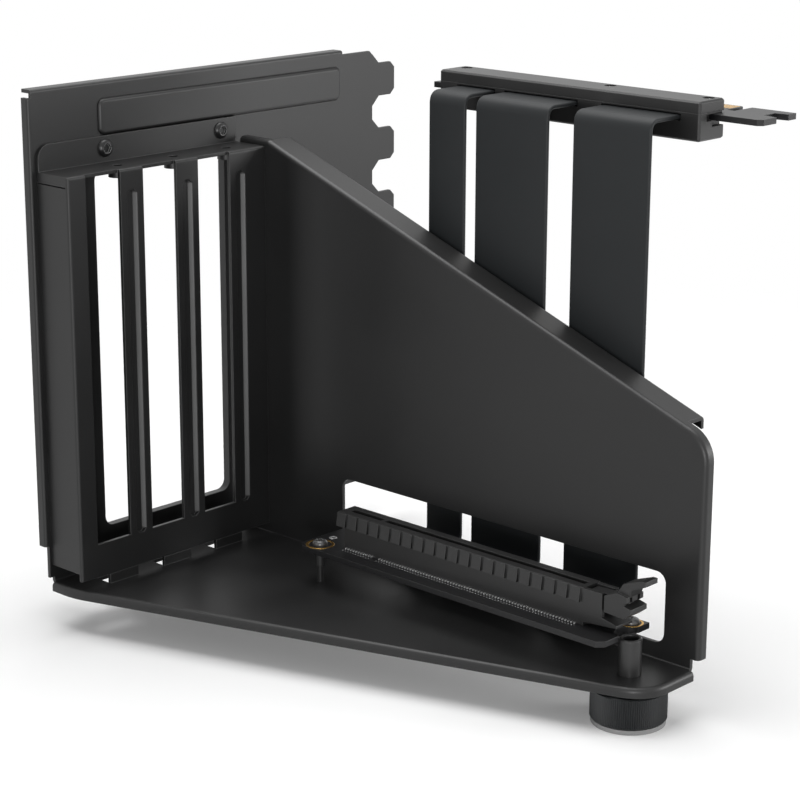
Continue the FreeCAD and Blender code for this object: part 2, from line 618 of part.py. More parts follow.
chassis.round("bend_in + gauge", on_panel_edge)
chassis.round("bend_in + gauge", lambda points: all(
    near(p.y, "flange_depth") and near(p.z, slope_at(f"{p.x:.9f}")) for p in points))
chassis.round("bend_in", lambda points: all(near(p.y, "0") and near(p.z, FLOOR) for p in points))
chassis.round("bend_in + gauge", lambda points: all(near(p.y, "gauge") and near(p.z, UNDER) for p in points))
port = rect("port_left", f"{FLOOR} + port_low", "port_right", f"{FLOOR} + port_low + port_tall")
chassis.pocket("XZ", "0", "gauge", port)
chassis.round_corners("port_corner", "XZ", port)
foot_axis = ("foot_x", "-foot_y")
screw_places = [("screw_a_x", "-screw_a_y"), ("screw_b_x", "-screw_b_y")]
chassis.pocket("XY", UNDER, FLOOR, ring(*foot_axis, "bush_shank + screw_clear"))

# Card cage: a folded sheet that the card's own bracket stands in

cage = Piece("card_cage")
face_low = f"{FLOOR} + cage_low"
cage.pad("YZ", "cage_front - gauge", "cage_front", rect("-cage_left", face_low, "0", "0"))
cage.pad("XY", "-gauge", "0", rect("0", "-cage_left", "cage_front", "0"))
cage.pad("YZ", "0", "gauge", rect("-cage_left", "-gauge", "0", "cage_flange"))
cage.pad("XZ", "-cage_left", "-cage_left + gauge", rect("0", f"{face_low} + wall_rise", "cage_front", "-ledge_lip - lip_seam"))
cage.pad("XZ", "-cage_left", "-cage_left + gauge", rect("0", "-ledge_lip", "cage_front", "0"))
cage.round("tight_bend", lambda points: all(near(p.x, "cage_front") and (
    near(p.z, "0") or near(p.y, "-cage_left")) for p in points))
cage.round("flange_corner", lambda points: all(
    near(p.y, "-cage_left") and near(p.z, "cage_flange") for p in points))
bead_ends = (f"({FLOOR} + bead_low)", "(-bead_top)")
beads, bead_backs = [], []
for middle in map(bar_middle, range(count("cage_slots"))):
    sides = (f"({middle} - bead_width / 2)", f"({middle} + bead_width / 2)")
    beads.append(rect(sides[0], bead_ends[0], sides[1], bead_ends[1]))
    bead_backs.append(rect(f"{sides[0]} - gauge", f"{bead_ends[0]} - gauge",
                           f"{sides[1]} + gauge", f"{bead_ends[1]} + gauge"))
cage.pad("YZ", "cage_front - gauge - bead_deep", "cage_front - gauge", *bead_backs)
cage.pocket("YZ", "cage_front - bead_deep", "cage_front", *beads)
cage.round_corners("bead_corner", "YZ", [corner for bead in beads for corner in bead], "Chamfer")
cage.pocket("YZ", "cage_front - gauge", "cage_front", *[
    rect(far, f"{FLOOR} + sill_height", close, "gauge")
    for far, close in map(card_slot, range(count("cage_slots")))])
bosses = [("cage_front - boss_setback", bar_middle(k)) for k in range(count("cage_slots"))]
cage.pad("XY", "-gauge - boss_tall", "-gauge", *[ring(*place, "boss_size") for place in bosses])
cage.pocket("XY", "-gauge - boss_tall", "0", *[ring(*place, "boss_bore") for place in bosses])
cage_screw_places = [(f"-{side}", "cage_screw_up") for side in ("cage_screw_far", "cage_screw_near")]
cage.pocket("YZ", "0", "gauge", *[ring(*place, "button_shank + screw_clear") for place in cage_screw_places])

# Two button-head screws that hold the cage to the rear plate

cage_screws = Piece("cage_screws")
cage_screws.pad("YZ", "gauge", "gauge + button_tall", *[
    ring(*place, "button_head") for place in cage_screw_places])
cage_screws.pad("YZ", "gauge - button_reach", "gauge", *[
    ring(*place, "button_shank") for place in cage_screw_places])
cage_screws.pocket("YZ", "gauge + button_tall - button_socket_deep", "gauge + button_tall", *[
    hexagon(*place, "button_socket") for place in cage_screw_places])

# Ear rail: an angle on the back of the rear plate with one screw hole for each slot

ear_rail = Piece("ear_rail")
rail_seat = "(-ear_to_panel)"
rail_low = f"{tongue(count('tongue_count') - 1)} - ear_margin"
rail_high = "first_tongue + ear_margin"
ear_rail.pad("XY", rail_low, rail_high, [
    ("-gauge", rail_seat), ("-gauge - ear_reach", rail_seat), ("-gauge - ear_reach", f"{rail_seat} - gauge"),
    ("-2 * gauge", f"{rail_seat} - gauge"), ("-2 * gauge", f"{rail_seat} - ear_foot"),
    ("-gauge", f"{rail_seat} - ear_foot")])
ear_rail.round("tight_bend", lambda points: all(near(p.x, "-gauge") and near(p.y, rail_seat) for p in points))
ear_rail.pocket("XZ", f"{rail_seat} - gauge", rail_seat, *[
    ring("-ear_setback", tongue(k), "ear_hole") for k in range(count("tongue_count"))])
ear_rail.round("ear_corner", lambda points: all(near(p.x, "-gauge - ear_reach") and (
    near(p.z, rail_low) or near(p.z, rail_high)) for p in points))

# Riser board on two pillars with slender feet, with its screws

board_top = f"({FLOOR} + board_up)"
board_low = f"({FLOOR} + board_up - board_thick)"
riser_board = Piece("riser_board")
riser_board.pad("XY", board_low, board_top, [
    ("board_left", "-board_near + board_chamfer"), ("board_left + board_chamfer", "-board_near"),
    ("board_right - board_chamfer", "-board_near"), ("board_right", "-board_near + board_chamfer"),
    ("board_right", "-board_far"), ("board_left", "-board_far")])
riser_board.pocket("XY", board_low, board_top, ring(*foot_axis, "post_notch"), *[
    ring(*place, "pan_shank + screw_clear") for place in screw_places])

board_pillars = Piece("board_pillars")
pillar_step = f"{FLOOR} + pillar_foot"
board_pillars.pad("XY", FLOOR, pillar_step, *[ring(*place, "pillar_stem") for place in screw_places])
board_pillars.pad("XY", pillar_step, board_low, *[ring(*place, "pillar_neck") for place in screw_places])
board_pillars.pocket("XY", f"{board_top} - pan_reach - screw_clear", board_low, *[
    ring(*place, "pan_shank + screw_clear") for place in screw_places])

board_screws = Piece("board_screws")
pan_top = f"({board_top} + pan_tall)"
board_screws.pad("XY", board_top, pan_top, *[ring(*place, "pan_head") for place in screw_places])
board_screws.pad("XY", f"{board_top} - pan_reach", board_top, *[
    ring(*place, "pan_shank") for place in screw_places])
for long, wide in (("cross_long", "cross_wide"), ("cross_wide", "cross_long")):
    board_screws.pocket("XY", f"{pan_top} - cross_deep", pan_top, *[
        rect(f"{x} - {long} / 2", f"{y} - {wide} / 2", f"{x} + {long} / 2", f"{y} + {wide} / 2")
        for x, y in screw_places])

# Slot connector that takes the card, with grip blocks along both sides and a cradle for its latch

slot = Piece("slot_housing")
slot_near = "(-slot_middle - slot_wide / 2)"
slot_far = "(-slot_middle + slot_wide / 2)"
slot_top = f"({board_top} + slot_tall)"
last_pin = "(pin_first + (pin_count - 2) * pin_pitch + key_gap)"
key_pin = "(pin_first + (key_after - 1) * pin_pitch)"
slot_end = f"({last_pin} + slot_tail)"
slot_start = "(pin_first - slot_head)"
block_low = f"({slot_top} - block_drop - block_tall)"
slot.pad("XZ", slot_near, slot_far, [
    ("pin_first - slot_foot", board_top), (slot_end, board_top), (slot_end, slot_top), (slot_start, slot_top),
    (slot_start, block_low), ("pin_first - slot_foot", block_low)])
block_step = f"(({slot_end} - {slot_start}) / block_count)"
block_top = f"{slot_top} - block_drop"
block = slot.pad("YZ", slot_start, f"{slot_start} + {block_step} - block_gap", [
    (f"{slot_near} - block_proud", block_low), (f"{slot_far} + block_proud", block_low),
    (f"{slot_far} + block_brow", block_top), (f"{slot_near} - block_brow", block_top)])
slot.repeat(block, "block_count", f"{block_step} * (block_count - 1)")
slit = ("-slot_middle - slot_slit / 2", "-slot_middle + slot_slit / 2")
slot.pocket("XY", f"{slot_top} - slit_deep", slot_top,
            rect("pin_first - slit_over", slit[0], f"{key_pin} + slit_over", slit[1]),
            rect(f"{key_pin} + key_gap - slit_over", slit[0], f"{last_pin} + slit_over", slit[1]))
cradle_end = f"({slot_end} + cradle_length)"
pivot = (f"{slot_end} + pivot_reach", f"{board_top} + pivot_up")
slot.pad("XZ", slot_near, slot_far, [
    (slot_end, f"{board_top} + cradle_under"), (cradle_end, f"{board_top} + cradle_tip_under"),
    (cradle_end, f"{board_top} + cradle_tip"), (slot_end, f"{board_top} + cradle_root")])
cheek = rect(slot_end, f"{board_top} + cheek_foot", f"{slot_end} + cheek_length", block_top)
slot.pad("XZ", slot_near, f"{slot_near} + cheek_thick", cheek)
slot.pad("XZ", f"{slot_far} - cheek_thick", slot_far, cheek)
slot.pocket("XZ", f"{slot_near} + pivot_skin", f"{slot_far} - pivot_skin", ring(
    *pivot, "pivot_size + pivot_clear"))

# Latch lever, which turns on its own stub pins between the two cheeks

latch = Piece("slot_latch")


def latch_outline(*corners):
    """Corners given from the housing's end and the board's top."""
    return [(f"{slot_end} + {across}", f"{board_top} + {up}") for across, up in corners]


lever_gap = "cheek_thick + latch_clear"
latch.pad("XZ", f"{slot_near} + {lever_gap}", f"{slot_far} - ({lever_gap})", latch_outline(
    ("lever_start", "lever_low"), ("head_start", "neck_low"), ("head_start", "neck_top"),
    ("lever_start", "lever_top")))
latch.pad("XZ", slot_near, slot_far, latch_outline(
    ("head_start", "neck_low"), ("head_reach - chin_back", "chin_up"), ("head_reach", "nose_low"),
    ("head_reach", "nose_high"), ("head_reach - notch_back", "notch_up"),
    ("head_reach - brow_back", "brow_low"), ("head_reach - brow_back", "brow_high"),
    ("head_reach - ridge_back", "ridge_up"), ("head_start", "neck_top")))
latch.pad("XZ", "-slot_middle - finger_wide / 2", "-slot_middle + finger_wide / 2", latch_outline(
    ("head_reach - finger_root", "finger_low"), ("head_reach - brow_back", "finger_low"),
    ("head_reach - finger_front", "finger_bend"), ("finger_reach", "finger_up - finger_face"),
    ("finger_reach", "finger_up"), ("finger_reach - finger_face", "finger_up"),
    ("head_reach - finger_heel", "finger_heel_up")))
windows = [f"(-slot_middle {sign} window_side)" for sign in "-+"]
latch.pocket("YZ", f"{slot_end} + head_reach - window_deep", f"{slot_end} + head_reach", *[
    rect(f"{middle} - window_wide / 2", f"{board_top} + window_low", f"{middle} + window_wide / 2",
         f"{board_top} + window_low + window_tall") for middle in windows])
pin_gap = "pivot_skin + latch_clear"
latch.pad("XZ", f"{slot_near} + {pin_gap}", f"{slot_far} - ({pin_gap})", ring(*pivot, "pivot_size"))

# Levelling foot: a bush riveted in the floor, a stud, a knurled knob and a pad

foot_bush = Piece("foot_bush")
foot_bush.pad("XY", UNDER, FLOOR, ring(*foot_axis, "bush_shank"))
foot_bush.pad("XY", FLOOR, f"{FLOOR} + bush_tall", ring(*foot_axis, "bush_size"))
foot_bush.pocket("XY", UNDER, f"{FLOOR} + bush_tall", ring(*foot_axis, "stud_size + stud_clear"))
foot_bush.dress("Chamfer", "bush_edge", lambda points: all(near(p.z, f"{FLOOR} + bush_tall") for p in points))

knob_top = f"({FLOOR} - knob_gap)"
knob_low = f"({FLOOR} - knob_gap - knob_tall)"
foot_stud = Piece("foot_stud")
foot_stud.pad("XY", f"{knob_top} - stud_root", f"{FLOOR} + stud_up", ring(*foot_axis, "stud_size"))

foot_knob = Piece("foot_knob")
foot_knob.pad("XY", knob_low, knob_top, ring(*foot_axis, "knob_size"))
foot_knob.dress("Chamfer", "knob_edge", lambda points: all(
    near(p.z, knob_low) or near(p.z, knob_top) for p in points))
foot_knob.pocket("XY", f"{knob_top} - stud_root", knob_top, ring(*foot_axis, "stud_size"))
foot_knob.pocket("XY", knob_low, f"{knob_low} + pad_stem_tall + pad_clear", ring(
    *foot_axis, "pad_stem + 2 * pad_clear"))

foot_pad = Piece("foot_pad")
pad_top = f"({knob_low} - pad_clear)"
foot_pad.pad("XY", f"{pad_top} - pad_tall", pad_top, ring(*foot_axis, "pad_size"))
foot_pad.pad("XY", pad_top, f"{knob_low} + pad_stem_tall", ring(*foot_axis, "pad_stem"))

# Riser cable: three flat ribbons from under the riser board up to the plug

RIBBONS = [(edge, f"({edge} + {edge}_wide)") for edge in ("ribbon_one", "ribbon_two", "ribbon_three")]
half = "ribbon_thick / 2"
cable_up = "(card_low + card_thick / 2)"
cable_low = f"({board_low} - {half})"
run_near, run_far = f"(ribbon_run - {half})", f"(ribbon_run + {half})"
crown, crown_in = (run_near, f"{cable_up} + {half}"), (run_far, f"{cable_up} - {half}")
heel, heel_in = (run_far, f"{cable_low} - {half}"), (run_near, f"{cable_low} + {half}")
cable_top = "plug_near + card_near"
for index, (start, end) in enumerate(RIBBONS, 1):
    ribbon = Piece(f"ribbon_{index}")
    ribbon.pad("YZ", start, end, [
        (cable_top, crown[1]), crown, heel_in, ("-ribbon_end", heel_in[1]), ("-ribbon_end", heel[1]), heel,
        crown_in, (cable_top, crown_in[1])])
    ribbon.round_corners("ribbon_bend + ribbon_thick / 2", "YZ", [crown, heel])
    ribbon.round_corners("ribbon_bend - ribbon_thick / 2", "YZ", [crown_in, heel_in])

# Plug: two moulded shells screwed together over the edge card

plug_start, plug_end = "(pin_first - plug_head)", f"({last_pin} + plug_tail)"
plug_far = "(plug_near + plug_deep)"
plug_outline = rect(plug_start, "plug_near", plug_end, plug_far)
plug_screws_at = [(f"{plug_start} + plug_screw_end", "plug_near + plug_screw_far"),
                  (f"{plug_start} + plug_screw_mid", "plug_near + plug_screw_far"),
                  (f"{plug_end} - plug_screw_end", "plug_near + plug_screw_far")]
head_seat = "(plug_top - plug_screw_sink - plug_screw_tall)"
plug_base = Piece("plug_base")
plug_base.pad("XY", "plug_low", "plug_seam", plug_outline)
plug_base.round_corners("plug_edge", "XY", plug_outline, "Chamfer")
plug_base.dress("Chamfer", "plug_edge", lambda points: all(near(p.z, "plug_low") for p in points))
card_recess = rect(plug_start, "plug_near + card_near", plug_end, plug_far)
plug_base.pocket("XY", "card_low", "plug_seam", card_recess)
plug_base.pocket("YZ", f"{plug_end} - card_pocket", plug_end, rect(
    "plug_near + plug_deep / 2", "card_low - card_pocket", plug_far, "card_low"))
plug_base.pocket("XZ", "plug_near", "plug_near + card_near", *[
    rect(f"{start} - ribbon_slack", f"{cable_up} - {half} - ribbon_slack", f"{end} + ribbon_slack",
         f"{cable_up} + {half} + ribbon_slack") for start, end in RIBBONS])
plug_base.pocket("XY", f"{head_seat} - plug_screw_reach - plug_screw_sink", "card_low", *[
    ring(*place, "plug_shank + screw_clear") for place in plug_screws_at])

plug_lid = Piece("plug_lid")
plug_lid.pad("XY", "plug_seam", "plug_top", plug_outline)
plug_lid.round_corners("plug_edge", "XY", plug_outline, "Chamfer")
plug_lid.dress("Chamfer", "plug_edge", lambda points: all(near(p.z, "plug_top") for p in points))
plug_lid.pad("XY", "card_low + card_thick", "plug_seam", rect(
    f"{plug_start} + plug_edge", f"{cable_top} + ribbon_slack", f"{plug_end} - plug_edge",
    f"{plug_far} - plug_edge"))
plug_lid.pocket("XY", "card_low + card_thick", "plug_top", *[
    ring(*place, "plug_shank + screw_clear") for place in plug_screws_at])
plug_lid.pocket("XY", head_seat, "plug_top", *[
    ring(*place, "plug_screw + screw_clear") for place in plug_screws_at])

plug_card = Piece("plug_card")
card_far = "(plug_near + card_edge)"
finger_start, finger_end = "(pin_first - card_margin)", f"({last_pin} + card_margin)"
key_left = f"({key_pin} + key_gap / 2 - card_key / 2)"
tail_end = f"({plug_end} + card_tail)"
hook_start = f"({finger_end} + hook_gap)"
key_root = f"({card_far} - card_key_deep)"
plug_card.pad("XY", "card_low", "card_low + card_thick", [
    (f"{plug_start} - card_nub", "plug_near + nub_near"), (plug_start, "plug_near + nub_near"),
    (plug_start, cable_top), (f"{plug_end} - card_pocket", cable_top),
    (f"{plug_end} - card_pocket", "plug_near + tail_near"),
    (f"{tail_end} - tail_bevel", "plug_near + tail_near"),
    (tail_end, "plug_near + tail_near + tail_bevel"), (tail_end, "plug_near + tail_far"),
    (f"{tail_end} - waist_deep", "plug_near + tail_far + waist_slope"),
    (f"{tail_end} - waist_deep", "plug_near + waist_far"),
    (f"{tail_end} - hook_back", "plug_near + waist_far + waist_slope"), (f"{tail_end} - hook_back", card_far),
    (hook_start, card_far), (hook_start, key_root), (finger_end, key_root),
    (finger_end, f"{card_far} - card_bevel"), (f"{finger_end} - card_bevel", card_far),
    (f"{key_left} + card_key", card_far), (f"{key_left} + card_key", key_root), (key_left, key_root),
    (key_left, card_far), (f"{finger_start} + card_bevel", card_far),
    (finger_start, f"{card_far} - card_bevel"), (finger_start, f"{plug_far} - plug_edge"),
    (f"{plug_start} - card_nub", f"{plug_far} - plug_edge")])
plug_card.pocket("XY", "card_low", "card_low + card_thick", *[
    ring(*place, "plug_shank + screw_clear") for place in plug_screws_at])

plug_screws = Piece("plug_screws")
head_top = f"({head_seat} + plug_screw_tall)"
plug_screws.pad("XY", head_seat, head_top, *[ring(*place, "plug_screw") for place in plug_screws_at])
plug_screws.pad("XY", f"{head_seat} - plug_screw_reach", head_seat, *[
    ring(*place, "plug_shank") for place in plug_screws_at])
plug_screws.pocket("XY", f"{head_top} - plug_socket_deep", head_top, *[
    hexagon(*place, "plug_socket") for place in plug_screws_at])

# Check every object, then write one file for each piece

bodies = [item for item in doc.Objects if item.TypeId == "PartDesign::Body"]
for body in bodies:
    body.recompute()
for item in doc.Objects:
    if "Invalid" in item.State or "Error" in item.State:
        raise RuntimeError(f"{item.Label} failed: {item.State}")
os.makedirs("parts", exist_ok=True)
for body in bodies:
    if body.Shape.isNull() or not body.Shape.Solids or not body.Shape.isValid():
        raise RuntimeError(f"{body.Label} has no valid shape")
    body.Shape.exportStep(f"parts/{body.Label}.step")
    print(f"{body.Label}: {len(body.Shape.Solids)} solid(s), {body.Shape.Volume:.1f} mm3")
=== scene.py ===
import math

import bmesh
import bpy
from mathutils import Matrix, Vector


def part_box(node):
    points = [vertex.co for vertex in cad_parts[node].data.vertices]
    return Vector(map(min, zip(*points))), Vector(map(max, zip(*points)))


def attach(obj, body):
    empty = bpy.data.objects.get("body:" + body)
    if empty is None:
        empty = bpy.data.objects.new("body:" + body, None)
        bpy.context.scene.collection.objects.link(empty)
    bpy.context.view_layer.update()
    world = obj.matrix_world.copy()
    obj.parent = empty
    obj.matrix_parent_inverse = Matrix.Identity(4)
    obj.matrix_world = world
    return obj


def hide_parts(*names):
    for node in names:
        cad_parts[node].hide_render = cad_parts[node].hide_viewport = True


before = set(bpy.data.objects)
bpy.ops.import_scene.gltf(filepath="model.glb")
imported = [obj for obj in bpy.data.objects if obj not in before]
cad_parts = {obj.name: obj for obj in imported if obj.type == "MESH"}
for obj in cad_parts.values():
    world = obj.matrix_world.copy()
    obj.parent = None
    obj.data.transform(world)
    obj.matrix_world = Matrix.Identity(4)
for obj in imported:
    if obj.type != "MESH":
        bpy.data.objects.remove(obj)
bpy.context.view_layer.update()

# Chassis: one sheet of steel, cut and folded into rear plate, floor and side panel, with a long
# form stamped up from the rear plate. Its matte black powder coat leaves a fine even grain on every
# face, and a slightly brighter line is painted along the cut edges and bends: rubbed coat and highlight.

MM = 0.001


def shader_group(name, inputs, outputs):
    """An empty shader node group with named inputs (label, kind, default) and outputs (label, kind)."""
    group = bpy.data.node_groups.new(name, "ShaderNodeTree")
    for label, kind, default in inputs:
        group.interface.new_socket(label, in_out="INPUT", socket_type=kind).default_value = default
    for label, kind in outputs:
        group.interface.new_socket(label, in_out="OUTPUT", socket_type=kind)
    return group, group.nodes.new("NodeGroupInput"), group.nodes.new("NodeGroupOutput")


def wire(tree, *pairs):
    """Joins output sockets to input sockets."""
    for source, target in pairs:
        tree.links.new(source, target)


def node(tree, kind, values=(), **settings):
    """A node with its settings and its input values by name or number."""
    made = tree.nodes.new(kind)
    for key, value in settings.items():
        setattr(made, key, value)
    for key, value in dict(values).items():
        made.inputs[key].default_value = value
    return made


grain, grain_in, grain_out = shader_group("surface_grain", [
    ("Vector", "NodeSocketVector", (0, 0, 0)), ("Grain Scale", "NodeSocketFloat", 3000.0),
    ("Patch Scale", "NodeSocketFloat", 40.0)], [
    ("Height", "NodeSocketFloat"), ("Patch", "NodeSocketFloat")])
fine = node(grain, "ShaderNodeTexNoise", {"Detail": 2.0, "Roughness": 0.6})
patch = node(grain, "ShaderNodeTexNoise", {"Detail": 3.0, "Roughness": 0.5})
wire(grain,
     (grain_in.outputs["Vector"], fine.inputs["Vector"]),
     (grain_in.outputs["Vector"], patch.inputs["Vector"]),
     (grain_in.outputs["Grain Scale"], fine.inputs["Scale"]),
     (grain_in.outputs["Patch Scale"], patch.inputs["Scale"]),
     (fine.outputs["Fac"], grain_out.inputs["Height"]),
     (patch.outputs["Fac"], grain_out.inputs["Patch"]))

# The Edge mask rises where the bevelled normal leaves the true normal, along edges and bends; the finishes
# paint a paler colour there, as abrasion and as a painted highlight.
edges, edges_in, edges_out = shader_group("soft_edges", [("Radius", "NodeSocketFloat", 0.0003)], [
    ("Normal", "NodeSocketVector"), ("Edge", "NodeSocketFloat")])
rounded = node(edges, "ShaderNodeBevel", samples=6)
true_normal = node(edges, "ShaderNodeNewGeometry")
agree = node(edges, "ShaderNodeVectorMath", operation="DOT_PRODUCT")
edge_wear_and_highlight = node(edges, "ShaderNodeMapRange", {"From Min": 0.98, "From Max": 0.75})
wire(edges,
     (edges_in.outputs["Radius"], rounded.inputs["Radius"]),
     (rounded.outputs["Normal"], agree.inputs[0]),
     (true_normal.outputs["True Normal"], agree.inputs[1]),
     (agree.outputs["Value"], edge_wear_and_highlight.inputs["Value"]),
     (rounded.outputs["Normal"], edges_out.inputs["Normal"]),
     (edge_wear_and_highlight.outputs["Result"], edges_out.inputs["Edge"]))


def coated(name, dark, light, wear_and_highlight_colour, rough, grain_scale, depth, radius, specular=0.3, metallic=0.0):
    """A finish whose colour wanders between two tones, with a grain, softened edges, and edges painted paler,
    both as abrasion and as a painted highlight.
    """
    finish = bpy.data.materials.new(name)
    finish.use_nodes = True
    tree = finish.node_tree
    shader = tree.nodes["Principled BSDF"]
    place = node(tree, "ShaderNodeTexCoord")
    skin = node(tree, "ShaderNodeGroup", node_tree=grain)
    skin.inputs["Grain Scale"].default_value = grain_scale
    rim = node(tree, "ShaderNodeGroup", node_tree=edges)
    rim.inputs["Radius"].default_value = radius
    tones = node(tree, "ShaderNodeValToRGB")
    for stop, position, colour in zip(tones.color_ramp.elements, (0.35, 0.65), (dark, light)):
        stop.position, stop.color = position, (*colour, 1)
    # Mixes the tones towards the pale edge colour along edges and bends: partly abrasion, partly a painted
    # highlight.
    wear_and_highlight_mix = node(tree, "ShaderNodeMix", data_type="RGBA")
    wear_and_highlight_mix.inputs["B"].default_value = (*wear_and_highlight_colour, 1)
    sheen = node(tree, "ShaderNodeMapRange", {"To Min": rough - 0.05, "To Max": rough + 0.05})
    bump = node(tree, "ShaderNodeBump", {"Strength": 0.5, "Distance": depth})
    wire(tree,
         (place.outputs["Object"], skin.inputs["Vector"]),
         (skin.outputs["Patch"], tones.inputs["Fac"]),
         (tones.outputs["Color"], wear_and_highlight_mix.inputs["A"]),
         (rim.outputs["Edge"], wear_and_highlight_mix.inputs["Factor"]),
         (wear_and_highlight_mix.outputs["Result"], shader.inputs["Base Color"]),
         (skin.outputs["Patch"], sheen.inputs["Value"]),
         (sheen.outputs["Result"], shader.inputs["Roughness"]),
         (skin.outputs["Height"], bump.inputs["Height"]),
         (rim.outputs["Normal"], bump.inputs["Normal"]),
         (bump.outputs["Normal"], shader.inputs["Normal"]))
    shader.inputs["Specular IOR Level"].default_value = specular
    shader.inputs["Metallic"].default_value = metallic
    return finish


def dress(finish, *nodes):
    """Gives CAD nodes a finish."""
    for name in nodes:
        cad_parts[name].data.materials.clear()
        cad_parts[name].data.materials.append(finish)


def lofted(name, *stacks, capped=True):
    """A closed mesh of stacks of rings; a stack without caps ends where it starts."""
    shape = bmesh.new()
    for stack in stacks:
        loops = [[shape.verts.new(corner) for corner in ring] for ring in stack]
        for low, high in zip(loops, loops[1:]):
            for k in range(len(low)):
                after = (k + 1) % len(low)
                shape.faces.new((low[k], low[after], high[after], high[k]))
        if capped:
            shape.faces.new(loops[0][::-1])
            shape.faces.new(loops[-1])
    if not capped:
        bmesh.ops.remove_doubles(shape, verts=shape.verts, dist=1e-7)
    bmesh.ops.recalc_face_normals(shape, faces=shape.faces)
    mesh = bpy.data.meshes.new(name)
    shape.to_mesh(mesh)
    shape.free()
    return mesh


def piece(name, mesh):
    """A new object that holds a mesh, at the origin."""
    made = bpy.data.objects.new(name, mesh)
    bpy.context.scene.collection.objects.link(made)
    return made


# Its pale edge colour paints a highlight along the bends and cut edges, besides the rubbed coat.
powder_coat = coated("powder_coat", (0.0085, 0.0085, 0.0086), (0.0108, 0.0108, 0.0109),
                     (0.075, 0.075, 0.075), rough=0.42, grain_scale=3200, depth=0.000015, radius=0.00035,
                     specular=0.45)
dress(powder_coat, "chassis")

stamp_left, stamp_right, stamp_low, stamp_high = 4.22, 99.28, 56.35, 66.51
stamp_corner, stamp_foot, plate_face, corner_steps = 2.0, 6.7, 8.0, 6
stamp_profile = ((stamp_foot, 0.0), (plate_face, 0.0), (plate_face + 0.35, 0.12), (plate_face + 0.75, 0.5),
                 (plate_face + 0.9, 0.8), (plate_face + 0.9, 1.0))
corner_middles = ((stamp_right - stamp_corner, stamp_high - stamp_corner),
                  (stamp_left + stamp_corner, stamp_high - stamp_corner),
                  (stamp_left + stamp_corner, stamp_low + stamp_corner),
                  (stamp_right - stamp_corner, stamp_low + stamp_corner))
stamp_rings = []
for x, inset in stamp_profile:
    ring = []
    for quarter, (y, z) in enumerate(corner_middles):
        for k in range(corner_steps + 1):
            turn = math.pi / 2 * (quarter + k / corner_steps)
            reach = stamp_corner - inset
            ring.append(Vector((x, y + reach * math.cos(turn), z + reach * math.sin(turn))) * MM)
    stamp_rings.append(ring)
plate_stamp = piece("plate_stamp", lofted("plate_stamp", stamp_rings))
plate_stamp.data.set_sharp_from_angle(angle=math.radians(28))
plate_stamp.data.materials.append(powder_coat)
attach(plate_stamp, "frame")

# Card cage and ear rail: two more folded sheets in the same coat. The cage is screwed to the
# rear plate, its ledge has tapped bosses for the card's own screws, and each of its bars has a
# pressed bead with a sloped flank. The flank's paler, half-metallic coat is a painted highlight.

dress(powder_coat, "card_cage", "ear_rail")
# The bead flanks get a paler, half-metallic coat: a painted highlight on the sloped flank.
pressed_coat = coated("pressed_coat", (0.09, 0.09, 0.09), (0.105, 0.105, 0.105), (0.12, 0.12, 0.12),
                      rough=0.36, grain_scale=3200, depth=0.00001, radius=0.0002, specular=0.5, metallic=0.5)


def node_tree(name, inputs):
    """An empty geometry node tree with named inputs (label, kind) and one geometry output."""
    tree = bpy.data.node_groups.new(name, "GeometryNodeTree")
    for label, kind in inputs:
        tree.interface.new_socket(label, in_out="INPUT", socket_type="NodeSocket" + kind)
    tree.interface.new_socket("Geometry", in_out="OUTPUT", socket_type="NodeSocketGeometry")
    return tree, tree.nodes.new("NodeGroupInput"), tree.nodes.new("NodeGroupOutput")


def grown(host, tree, crease=28, **values):
    """The host's mesh after a node tree with these inputs, as a plain mesh with no modifier left."""
    modifier = host.modifiers.new(tree.name, "NODES")
    modifier.node_group = tree
    for socket in tree.interface.items_tree:
        label = socket.name.replace(" ", "_").lower()
        if socket.in_out == "INPUT" and label in values:
            modifier[socket.identifier] = values[label]
    bpy.context.view_layer.update()
    mesh = bpy.data.meshes.new_from_object(host.evaluated_get(bpy.context.evaluated_depsgraph_get()))
    host.modifiers.clear()
    mesh.name = host.name
    mesh.set_sharp_from_angle(angle=math.radians(crease))
    return mesh


like_pieces, like_in, like_out = node_tree("like_pieces", [
    ("Geometry", "Geometry"), ("Pattern", "Object"), ("Turn", "Rotation"), ("Finish", "Material")])
pattern_shape = node(like_pieces, "GeometryNodeObjectInfo")
likes_placed = node(like_pieces, "GeometryNodeInstanceOnPoints")
likes_solid = node(like_pieces, "GeometryNodeRealizeInstances")
likes_painted = node(like_pieces, "GeometryNodeSetMaterial")
wire(like_pieces,
     (like_in.outputs["Geometry"], likes_placed.inputs["Points"]),
     (like_in.outputs["Pattern"], pattern_shape.inputs["Object"]),
     (pattern_shape.outputs["Geometry"], likes_placed.inputs["Instance"]),
     (like_in.outputs["Turn"], likes_placed.inputs["Rotation"]),
     (likes_placed.outputs["Instances"], likes_solid.inputs["Geometry"]),
     (likes_solid.outputs["Geometry"], likes_painted.inputs["Geometry"]),
     (like_in.outputs["Finish"], likes_painted.inputs["Material"]),
     (likes_painted.outputs["Geometry"], like_out.inputs["Geometry"]))


def copies(name, pattern, places, finish, body, turn=(0, 0, 0), crease=28):
    """One piece made of like pieces at some places."""
    points = bpy.data.meshes.new(name + "_places")
    points.from_pydata(places, [], [])
    host = piece(name, points)
    single = piece(name + "_pattern", pattern)
    host.data = grown(host, like_pieces, crease=crease, pattern=single, turn=turn, finish=finish)
    bpy.data.objects.remove(single)
    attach(host, body)
    return host


